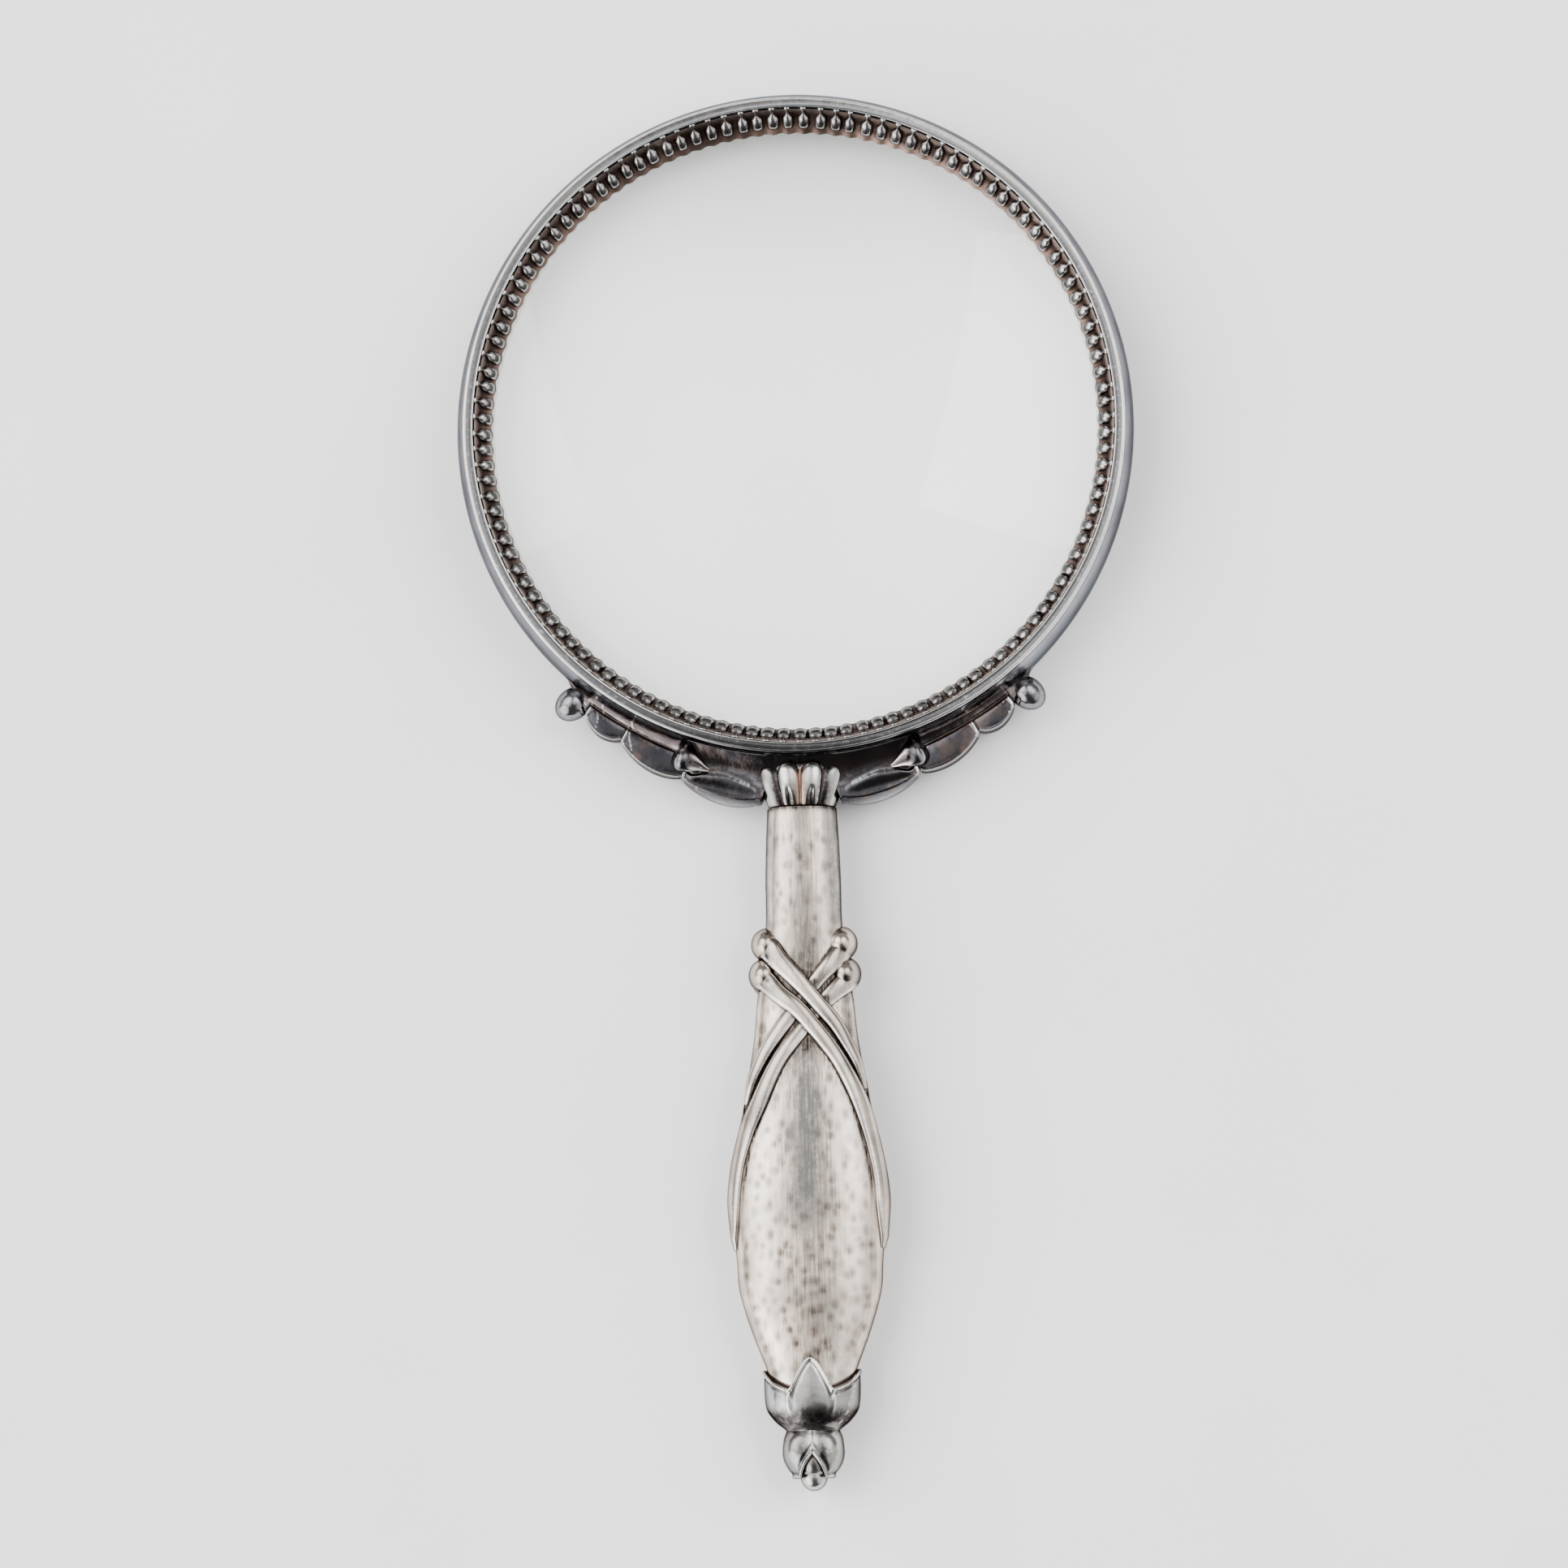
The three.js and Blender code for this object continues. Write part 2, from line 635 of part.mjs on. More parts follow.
// Height of a scalloped rim at an angle: petals stand at 0, 90, 180 and 270 degrees.
function tulipRim(angle) {
  const front = Math.abs(Math.sin(angle));
  const side = Math.abs(Math.cos(angle));
  const frontPetal = FRONT_PETAL_TIP - FRONT_PETAL_DEPTH * Math.min(1, side / 0.44) ** 1.5;
  const sidePetal = SIDE_PETAL_TIP - SIDE_PETAL_DEPTH * Math.min(1, front / 0.88) ** 1.3;
  return Math.max(frontPetal, sidePetal);
}

function tulipCup() {
  const count = 28;
  const depths = [0, 0.3, 0.6, 0.85, 1];
  const ring = (yAt, inset) => {
    const section = [];
    for (let i = 0; i < count; i += 1) {
      const angle = (i / count) * 2 * Math.PI;
      const y = yAt(angle);
      const halfWidth = interpolate(CUP_STATIONS, y, 1) - inset;
      const halfThickness = interpolate(CUP_STATIONS, y, 2) - inset;
      section.push(ovalPoint(y, halfWidth, halfThickness, angle, OVAL_POWER));
    }
    return section;
  };
  const lowStations = CUP_STATIONS.filter(([y]) => y < CUP_SHELF).reverse();
  const petalRing = (depth, inset) => {
    const yAt = (angle) => tulipRim(angle) + (CUP_SHELF - tulipRim(angle)) * depth;
    return ring(yAt, inset);
  };
  const sections = lowStations.map(([y]) => ring(() => y, 0));
  for (const depth of [...depths].reverse()) sections.push(petalRing(depth, 0));
  for (const depth of depths) sections.push(petalRing(depth, PETAL_WALL));
  return subtract(loft(sections), handleEnvelope(SKIN_GAP));
}

const TIP_RADIUS = 2;
const TIP_CENTRE_Y = -HALF_LENGTH + TIP_RADIUS;
const BUD_TOP = -94.4;
const BUD_END = -101.1;
const BUD_NOTCH = 3.4;
const BUD_NOTCH_WIDTH = 0.62;

function finialBud() {
  const count = 24;
  const rim = (angle) => {
    const share = Math.max(0, 1 - Math.abs(Math.cos(angle)) / BUD_NOTCH_WIDTH);
    return BUD_END + BUD_NOTCH * share ** 1.1;
  };
  const sections = [];
  for (const depth of [0, 0.18, 0.42, 0.65, 0.85, 1]) {
    const section = [];
    for (let i = 0; i < count; i += 1) {
      const angle = (i / count) * 2 * Math.PI;
      const y = BUD_TOP + (rim(angle) - BUD_TOP) * depth;
      const halfWidth = interpolate(BUD_STATIONS, y, 1);
      const halfThickness = interpolate(BUD_STATIONS, y, 2);
      section.push(ovalPoint(y, halfWidth, halfThickness, angle, OVAL_POWER));
    }
    sections.push(section);
  }
  const pocket = new THREE.SphereGeometry(TIP_RADIUS + FIT_GAP, 16, 12);
  pocket.translate(0, TIP_CENTRE_Y, 0);
  return subtract(loft(sections), pocket);
}

function tipBead() {
  const geometry = new THREE.SphereGeometry(TIP_RADIUS, 16, 12);
  geometry.translate(0, TIP_CENTRE_Y, 0);
  return geometry;
}

// ---------- assembly ----------
const glass = new THREE.Group();
glass.position.set(0, 0, HALF_DEPTH);

function add(name, geometry, color, roughness, metalness) {
  glass.add(makeMesh(name, geometry, color, roughness, metalness));
}

add('ring_band', ringBand(), OLD_SILVER, 0.3, 1);
add('front_bead_gallery', beadGallery(1), BRIGHT_SILVER, 0.35, 1);
add('rear_bead_gallery', beadGallery(-1), BRIGHT_SILVER, 0.35, 1);
add('lens', lensBody(), CLEAR_GLASS, 0.03, 0);
add('lens_packing', lensPacking(), CORK_BROWN, 0.9, 0);
add('fluted_collar', flutedCollar(), BRIGHT_SILVER, 0.25, 1);
add('tang', tangBody(0), OLD_SILVER, 0.5, 1);
add('handle_front_shell', handleShell(1), PALE_SILVER, 0.4, 1);
add('handle_back_shell', handleShell(-1), PALE_SILVER, 0.4, 1);
add('handle_filler', handleFiller(), PITCH_BROWN, 0.9, 0);
add('tulip_cup', tulipCup(), OLD_SILVER, 0.3, 1);
add('finial_bud', finialBud(), OLD_SILVER, 0.3, 1);
add('tip_bead', tipBead(), DARK_SILVER, 0.2, 1);

for (const [word, side] of [['left', -1], ['right', 1]]) {
  add(`${word}_leaf_bracket`, leafBracket(side), DARK_SILVER, 0.2, 1);
  add(`${word}_berry`, berry(side), DARK_SILVER, 0.15, 1);
  add(`${word}_upper_knot`, strapKnot(UPPER_KNOT, side), PALE_SILVER, 0.3, 1);
  add(`${word}_lower_knot`, strapKnot(LOWER_KNOT, side), PALE_SILVER, 0.3, 1);
  for (const [faceWord, face] of [['front', 1], ['back', -1]]) {
    add(`${faceWord}_${word}_bud`, scrollBud(side, face), DARK_SILVER, 0.2, 1);
  }
}

for (const [faceWord, face] of [['front', 1], ['back', -1]]) {
  add(`${faceWord}_upper_over_strap`, strap(UPPER_OVER, face, true), PALE_SILVER, 0.3, 1);
  add(`${faceWord}_lower_over_strap`, strap(LOWER_OVER, face, true), PALE_SILVER, 0.3, 1);
  add(`${faceWord}_upper_under_strap`, strap(UPPER_UNDER, face, false), PALE_SILVER, 0.3, 1);
  add(`${faceWord}_lower_under_strap`, strap(LOWER_UNDER, face, false), PALE_SILVER, 0.3, 1);
}

const group = new THREE.Group();
group.add(glass);

export default group;
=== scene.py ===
"""A silver magnifying glass: beaded ring, leaf brackets, fluted collar, strapped handle and tulip end."""

import math
from types import SimpleNamespace

import bpy
import numpy as np
from mathutils import Matrix, Vector


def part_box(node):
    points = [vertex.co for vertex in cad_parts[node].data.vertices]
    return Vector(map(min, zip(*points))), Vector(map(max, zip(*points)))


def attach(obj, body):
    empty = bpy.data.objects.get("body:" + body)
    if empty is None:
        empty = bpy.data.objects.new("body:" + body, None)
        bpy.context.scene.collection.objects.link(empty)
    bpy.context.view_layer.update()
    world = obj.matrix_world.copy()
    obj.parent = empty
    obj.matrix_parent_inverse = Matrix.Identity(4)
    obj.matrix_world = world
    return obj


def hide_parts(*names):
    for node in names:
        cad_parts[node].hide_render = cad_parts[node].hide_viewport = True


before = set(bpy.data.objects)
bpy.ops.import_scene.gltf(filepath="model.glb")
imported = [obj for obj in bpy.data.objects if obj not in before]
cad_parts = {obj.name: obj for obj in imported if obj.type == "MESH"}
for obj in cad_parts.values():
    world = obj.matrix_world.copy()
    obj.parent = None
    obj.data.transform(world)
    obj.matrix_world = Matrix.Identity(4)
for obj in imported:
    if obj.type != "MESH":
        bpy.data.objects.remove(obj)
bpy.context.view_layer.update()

# ---------- sizes: shapes are worked out in mm, with z measured from the mid-plane ----------
METRE = 0.001
ring_low, ring_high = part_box("ring_band")
HALF_DEPTH = (ring_high.z - ring_low.z) / 2 / METRE
RING_Y = (ring_high.y + ring_low.y) / 2 / METRE
WALL_RADIUS = (ring_high.x - ring_low.x) / 2 / METRE
WALL_DRAFT = 1.7
SHELL = 0.9
SEAM = 0.05
TAU = 2 * math.pi
DEGREE = math.pi / 180
SEED = 20

rng = np.random.default_rng(SEED)


def smooth(value, low, high):
    """0 below low, 1 above high, and a soft ramp between them."""
    share = np.clip((np.asarray(value, float) - low) / (high - low), 0, 1)
    return share * share * (3 - 2 * share)


def bell(value, width):
    """1 at 0, falling softly to both sides."""
    return np.exp(-((np.asarray(value, float) / width) ** 2))


def soft_curve(points, per_leg=12):
    """A Catmull-Rom curve through points, as a dense array."""
    p = np.asarray(points, float)
    p = np.vstack([2 * p[0] - p[1], p, 2 * p[-1] - p[-2]])
    t = np.linspace(0, 1, per_leg, endpoint=False)[:, None]
    legs = []
    for a, b, c, d in zip(p[:-3], p[1:-2], p[2:-1], p[3:]):
        legs.append(
            0.5 * (2 * b + (c - a) * t + (2 * a - 5 * b + 4 * c - d) * t**2
                   + (3 * b - a - 3 * c + d) * t**3)
        )
    return np.vstack([*legs, p[-2]])


class Table:
    """Columns that are read by y, softly between the rows."""

    def __init__(self, rows):
        dense = soft_curve(rows)
        self.rows = dense[np.argsort(dense[:, 0])]

    def __call__(self, y, column):
        return np.interp(y, self.rows[:, 0], self.rows[:, column])


def beside_ring(radius, angle, z):
    """A point beside the ring's centre. The angle is measured from the handle's side."""
    return np.stack(
        np.broadcast_arrays(radius * np.sin(angle), RING_Y - radius * np.cos(angle), z), axis=-1
    )


def wall_radius(z):
    """Radius of the ring's outside, which bows out at the mid-plane."""
    return WALL_RADIUS - WALL_DRAFT * (z / HALF_DEPTH) ** 2


def oval(y, half_width, half_thickness, angle, power):
    """Sections across y. A power of 2 gives an ellipse, and a higher one is squarer."""
    cosine, sine = np.cos(angle), np.sin(angle)
    x = half_width * np.sign(cosine) * np.abs(cosine) ** (2 / power)
    z = half_thickness * np.sign(sine) * np.abs(sine) ** (2 / power)
    return np.stack(np.broadcast_arrays(x, y, z), axis=-1)


def full_turn(count):
    """Even angles round a full circle."""
    return np.arange(count) / count * TAU


# ---------- meshes ----------
def place(name, data):
    """Puts a mesh, light or camera in the scene."""
    item = bpy.data.objects.new(name, data)
    bpy.context.scene.collection.objects.link(item)
    return item


def grid_faces(rows, columns, loop_rows):
    """Quads of a grid that is closed round its columns."""
    r = np.arange(rows if loop_rows else rows - 1)[:, None]
    c = np.arange(columns)[None, :]
    next_r, next_c = (r + 1) % rows, (c + 1) % columns
    corners = [r * columns + c, r * columns + next_c, next_r * columns + next_c, next_r * columns + c]
    return np.stack([np.broadcast_to(k, (r.size, c.size)) for k in corners], -1).reshape(-1, 4)


def signed_volume(points, faces):
    a, b, c, d = (points[faces[:, i]] for i in range(4))
    return float(np.sum(a * np.cross(b, c)) + np.sum(a * np.cross(c, d)))


class Shape:
    """Points and quads gathered from closed grids, with values stored on each point."""

    def __init__(self):
        self.points, self.faces, self.values, self.count = [], [], {}, 0

    def grid(self, points, loop_rows=False, **values):
        """Adds a grid that is closed round its columns. The ends are capped unless its rows loop too.

        Every grid of a shape gives the same values.
        """
        rows, columns = points.shape[:2]
        flat = points.reshape(-1, 3)
        faces = [grid_faces(rows, columns, loop_rows)]
        if not loop_rows:
            flat = np.vstack([flat, points[0].mean(axis=0), points[-1].mean(axis=0)])
            here = np.arange(columns)
            ahead = (here + 1) % columns
            last = (rows - 1) * columns
            centre = np.full(columns, rows * columns)
            faces.append(np.stack([ahead, here, centre, centre], -1))
            faces.append(np.stack([last + here, last + ahead, centre + 1, centre + 1], -1))
        quads = np.vstack(faces)
        if signed_volume(flat, quads) < 0:
            quads = quads[:, ::-1]
        self.points.append(flat)
        self.faces.append(quads + self.count)
        self.count += len(flat)
        for key, value in values.items():
            spread = np.broadcast_to(value, (rows, columns)).reshape(-1)
            caps = np.full(len(flat) - spread.size, spread[-1])
            self.values.setdefault(key, []).append(np.concatenate([spread, caps]))

    def build(self, name, material, node, sharp=None):
        """Makes the piece that stands for a CAD node, with the material in its slot."""
        points = (np.vstack(self.points) + (0, 0, HALF_DEPTH)) * METRE
        faces = [list(dict.fromkeys(quad)) for quad in np.vstack(self.faces).tolist()]
        mesh = bpy.data.meshes.new(name)
        mesh.from_pydata(points.tolist(), [], faces)
        for key, parts in self.values.items():
            layer = mesh.attributes.new(key, "FLOAT", "POINT")
            layer.data.foreach_set("value", np.concatenate(parts).astype(np.float32))
        mesh.polygons.foreach_set("use_smooth", np.ones(len(faces), bool))
        mesh.materials.append(material)
        mesh.validate()
        mesh.update()
        if sharp is not None:
            mesh.set_sharp_from_angle(angle=sharp * DEGREE)
        piece = place(name, mesh)
        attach(piece, "root")
        # Blender numbers a name that the CAD's own material has too, as in ring_silver.001.
        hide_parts(node)


def add_piece(name, material, node, points, slot=None, sharp=None, loop_rows=False, **values):
    """A piece that is one closed grid."""
    shape = Shape()
    shape.grid(points, loop_rows, **values)
    shape.build(name, material, node, sharp)


def ball(centre, radii, rows=28, columns=40):
    """A round body as a grid, from its low pole to its high pole along y."""
    lat = np.linspace(-math.pi / 2, math.pi / 2, rows + 2)[1:-1, None]
    lon = full_turn(columns)[None, :]
    unit = np.broadcast_arrays(np.cos(lat) * np.cos(lon), np.sin(lat), np.cos(lat) * np.sin(lon))
    return np.asarray(centre, float) + np.stack(unit, -1) * np.asarray(radii, float)


# ---------- materials ----------
GRAZING_TINT = (0.3, 0.3, 0.31, 1.0)


class Nodes:
    """Short forms for the nodes of a material or a world."""

    def __init__(self, owner, output):
        owner.use_nodes = True
        self.tree = owner.node_tree
        self.tree.nodes.clear()
        self.output = self.add(output)

    def add(self, kind, **settings):
        node = self.tree.nodes.new(kind)
        for key, value in settings.items():
            setattr(node, key, value)
        return node

    def link(self, source, target):
        if isinstance(source, (int, float, tuple)):
            target.default_value = source
        else:
            self.tree.links.new(source, target)

    def feed(self, node, **inputs):
        """Links or sets a node's inputs by their names."""
        for key, source in inputs.items():
            self.link(source, node.inputs[key.replace("_", " ")])

    def math(self, operation, a, b=0.0, c=0.0, clamp=False):
        """One operation, such as ADD, on up to three sockets or numbers."""
        node = self.add("ShaderNodeMath", operation=operation, use_clamp=clamp)
        for socket, value in zip(node.inputs, (a, b, c)):
            self.link(value, socket)
        return node.outputs[0]

    def ramp(self, value, low, high, low_to=0.0, high_to=1.0, form="SMOOTHSTEP"):
        """A value's range, low to high, carried over to another one."""
        node = self.add("ShaderNodeMapRange", interpolation_type=form)
        for socket, number in zip(node.inputs, (value, low, high, low_to, high_to)):
            self.link(number, socket)
        return node.outputs[0]


class Finish(Nodes):
    """The nodes of a material, with its coordinates in mm."""

    def __init__(self, name):
        self.material = bpy.data.materials.new(name)
        super().__init__(self.material, "ShaderNodeOutputMaterial")
        coordinates = self.add("ShaderNodeTexCoord")
        scale = self.add("ShaderNodeVectorMath", operation="SCALE")
        self.feed(scale, Vector=coordinates.outputs["Object"], Scale=1 / METRE)
        self.mm = scale.outputs[0]

    def mix(self, share, a, b):
        node = self.add("ShaderNodeMix", data_type="RGBA")
        self.link(share, node.inputs[0])
        for value, socket in ((a, node.inputs[6]), (b, node.inputs[7])):
            self.link(value if not isinstance(value, tuple) else (*value, 1.0), socket)
        return node.outputs[2]

    def noise(self, scale, detail=2.0, stretch=(1, 1, 1), roughness=0.5, offset=0.0):
        mapping = self.add("ShaderNodeMapping")
        self.feed(mapping, Vector=self.mm, Scale=stretch, Location=(offset, offset, offset))
        node = self.add("ShaderNodeTexNoise")
        self.feed(node, Vector=mapping.outputs[0], Scale=scale, Detail=detail, Roughness=roughness)
        return node.outputs["Fac"]

    def value(self, name):
        return self.add("ShaderNodeAttribute", attribute_name=name).outputs["Fac"]

    def crevice(self, reach, low, high):
        """1 in corners and gaps, 0 in the open."""
        node = self.add("ShaderNodeAmbientOcclusion", samples=6)
        self.feed(node, Distance=reach * METRE)
        return self.ramp(node.outputs["AO"], low, high, 1.0, 0.0)

    def edge(self):
        """1 on worn high edges."""
        return self.ramp(self.add("ShaderNodeNewGeometry").outputs["Pointiness"], 0.52, 0.62)

    def steep(self, low, high):
        """1 where the surface stands upright, 0 where it faces up or down."""
        split = self.add("ShaderNodeSeparateXYZ")
        self.link(self.add("ShaderNodeTexCoord").outputs["Normal"], split.inputs[0])
        return self.ramp(self.math("ABSOLUTE", split.outputs["Z"]), low, high, 1.0, 0.0)

    def bump(self, height, strength, distance=0.05, normal=None):
        node = self.add("ShaderNodeBump")
        self.feed(node, Height=height, Strength=strength, Distance=distance * METRE)
        if normal is not None:
            self.feed(node, Normal=normal)
        return node.outputs[0]

    def finish(self, colour, roughness, normal=None, metallic=1.0, **fixed):
        shader = self.add("ShaderNodeBsdfPrincipled")
        self.feed(shader, Base_Color=colour, Roughness=roughness, Metallic=metallic, **fixed)
        if metallic:
            self.feed(shader, Specular_Tint=GRAZING_TINT)
        if normal is not None:
            self.feed(shader, Normal=normal)
        self.feed(self.output, Surface=shader.outputs[0])
        return self.material


def silver(name, bright, tint, tarnish, grime_and_shade, rough, cloud, brushed=0.0, reach=1.2, hollow=(0.35, 0.85),
           worn=(0.86, 0.84, 0.81), wear=0.25, streak=(1, 0.06, 1), values=(), scratch=0.25, waves=0.0,
           sides=0.0, painted_highlights=()):
    """Tarnished silver: clouded colour, dark tarnish in the corners, painted shade on upright sides, worn
    bright edges and fine scratches.

    Each of values mixes in a colour by a stored value under the corner tarnish, and each painted highlight
    of the last list does so over it. The stored values hold painted highlights and painted shade as well as
    marks.
    """
    n = Finish(name)
    clouds = n.ramp(n.noise(0.16, 3.0, offset=3.1), 0.35, 0.7)
    hue = n.ramp(n.noise(0.33, 2.0, offset=17.0), 0.4, 0.65)
    colour = n.mix(n.math("MULTIPLY", hue, cloud), bright, tint)
    colour = n.mix(n.math("MULTIPLY", clouds, cloud), colour, tarnish)
    if brushed:
        hairs = n.noise(3.2, 4.0, stretch=streak, roughness=0.65, offset=5.0)
        shade = n.ramp(hairs, 0.4, 0.64)
        colour = n.mix(n.math("MULTIPLY", shade, brushed), colour, tarnish)
    for key, dark in values:
        share = n.value(key)
        ragged = n.noise(1.6, 4.0, roughness=0.6, offset=9.0)
        share = n.math("MULTIPLY", share, n.ramp(ragged, 0.2, 0.6, 0.55, 1.15), clamp=True)
        if brushed:
            share = n.math("MULTIPLY", share, n.ramp(hairs, 0.38, 0.62, 0.72, 1.12), clamp=True)
        colour = n.mix(share, colour, dark)
    dirt = n.crevice(reach, *hollow)
    mottle = n.noise(1.1, 4.0, roughness=0.6, offset=31.0)
    dirt = n.math("MULTIPLY", dirt, n.ramp(mottle, 0.25, 0.6, 0.6, 1.0), clamp=True)
    colour = n.mix(dirt, colour, grime_and_shade)
    if wear:
        colour = n.mix(n.math("MULTIPLY", n.edge(), wear), colour, worn)
    # Painted shade: upright faces are darkened towards the dark corner colour.
    if sides:
        colour = n.mix(n.math("MULTIPLY", n.steep(0.08, 0.5), sides), colour, grime_and_shade)
    # Painted highlights, mixed in over the tarnish.
    for key, light in painted_highlights:
        colour = n.mix(n.math("MULTIPLY", n.value(key), 1.0, clamp=True), colour, light)
    base = n.ramp(n.noise(0.7, 3.0, offset=12.0), 0.3, 0.7, rough * 0.82, rough * 1.2)
    roughness = n.math("ADD", base, n.math("MULTIPLY", dirt, 0.2), clamp=True)
    fine = n.noise(2.2, 5.0, stretch=(1, 0.25, 1), roughness=0.7, offset=2.0)
    normal = n.bump(fine, scratch, 0.03)
    if waves:
        normal = n.bump(n.noise(0.55, 2.0, offset=41.0), waves, 0.5, normal)
    pits = n.noise(9.0, 2.0, offset=8.0)
    normal = n.bump(n.ramp(pits, 0.62, 0.78, 1.0, 0.0), scratch * 0.8, 0.03, normal)
    return n.finish(colour, roughness, normal)


BROWN = (0.075, 0.052, 0.043)
# Dark for the straps' painted shade, tarnish spots and punch marks.
SHADE_AND_TARNISH_DARK = (0.035, 0.033, 0.034)

# dim and bright are painted shade and painted highlights.
ring_silver = silver(
    "ring_silver", (0.36, 0.365, 0.38), (0.27, 0.295, 0.345), (0.20, 0.20, 0.215), (0.09, 0.085, 0.09),
    0.2, waves=0.06, cloud=0.6, wear=0.0, reach=0.8, scratch=0.15, sides=0.35,
    values=(("dim", (0.10, 0.097, 0.10)), ("bright", (0.90, 0.87, 0.83))),
)
# bright is a painted highlight; the dark value darkens the pearls' waists.
pearl_silver = silver(
    "pearl_silver", (0.54, 0.525, 0.52), (0.45, 0.40, 0.39), (0.27, 0.25, 0.25), BROWN,
    0.15, cloud=0.6, reach=0.5, hollow=(0.2, 0.7), waves=0.05,
    values=(("soot", BROWN), ("bright", (0.88, 0.84, 0.81))),
)
seat_bronze = silver(
    "seat_bronze", (0.23, 0.15, 0.12), (0.34, 0.22, 0.18), (0.10, 0.07, 0.06), (0.055, 0.034, 0.028),
    0.38, cloud=0.8, reach=1.0, worn=(0.55, 0.45, 0.40), wear=0.3,
    values=(("shade", (0.035, 0.024, 0.02)), ("pale", (0.46, 0.40, 0.37))),
)
# grey and bright carry painted highlights and reflections, though grey is also the berry's own lighter
# tone; bronze is the brown of the hollows.
dark_silver = silver(
    "dark_silver", (0.062, 0.061, 0.069), (0.10, 0.08, 0.075), (0.035, 0.034, 0.039), (0.05, 0.036, 0.03),
    0.13, cloud=0.9, waves=0.16, reach=1.0, hollow=(0.2, 0.75), worn=(0.80, 0.76, 0.73),
    values=(("bronze", (0.17, 0.108, 0.08)), ("grey", (0.31, 0.305, 0.32)), ("bright", (0.80, 0.77, 0.74))),
)
# The dark value is mostly painted shade with some tarnish, and bright is a painted highlight.
chased_silver = silver(
    "chased_silver", (0.52, 0.505, 0.475), (0.36, 0.395, 0.41), (0.24, 0.215, 0.20), (0.06, 0.045, 0.037),
    0.16, cloud=0.75, waves=0.12, reach=1.1, sides=0.6,
    values=(("soot", (0.06, 0.052, 0.05)), ("copper", (0.42, 0.25, 0.17)), ("bright", (0.88, 0.86, 0.83))),
)
# The dark value holds painted shade, tarnish spots and punch marks; lit is a painted highlight.
strap_silver = silver(
    "strap_silver", (0.72, 0.62, 0.53), (0.52, 0.465, 0.405), (0.33, 0.29, 0.26), (0.07, 0.053, 0.045),
    0.18, cloud=0.75, brushed=0.35, reach=0.6, hollow=(0.25, 0.7), wear=0.2, sides=0.75,
    values=(("soot", SHADE_AND_TARNISH_DARK),),
    painted_highlights=(("lit", (0.98, 0.96, 0.93)),),
)
# dent marks the hammer marks, blue is brushed grey mixed with painted dark reflection, the dark value is
# painted shade and bright is a painted highlight.
handle_silver = silver(
    "handle_silver", (1.0, 0.84, 0.70), (0.76, 0.61, 0.51), (0.38, 0.335, 0.30), (0.075, 0.057, 0.048),
    0.24, cloud=0.6, brushed=0.72, streak=(1, 0.035, 1), waves=0.04, reach=1.0, hollow=(0.2, 0.7),
    wear=0.2, sides=0.65,
    values=(
        ("dent", (0.11, 0.08, 0.065)), ("blue", (0.20, 0.198, 0.188)),
        ("soot", (0.032, 0.025, 0.021)), ("bright", (1.0, 0.91, 0.81)),
    ),
)


# ---------- ring ----------
RING_STEPS = 320


def share_of(parts, given):
    """Values along a mirrored profile: those given for its numbered parts, and 0 elsewhere."""
    shares = [np.asarray(given.get(i, (0,) * len(part)), float) for i, part in enumerate(parts)]
    front = np.concatenate(shares)
    return np.concatenate([front, front[-2:0:-1]])[None, :]


def from_handle(angle):
    """Degrees round the ring from the handle's side, 0 to 180, for an angle in radians."""
    return np.minimum(angle, TAU - angle) / DEGREE


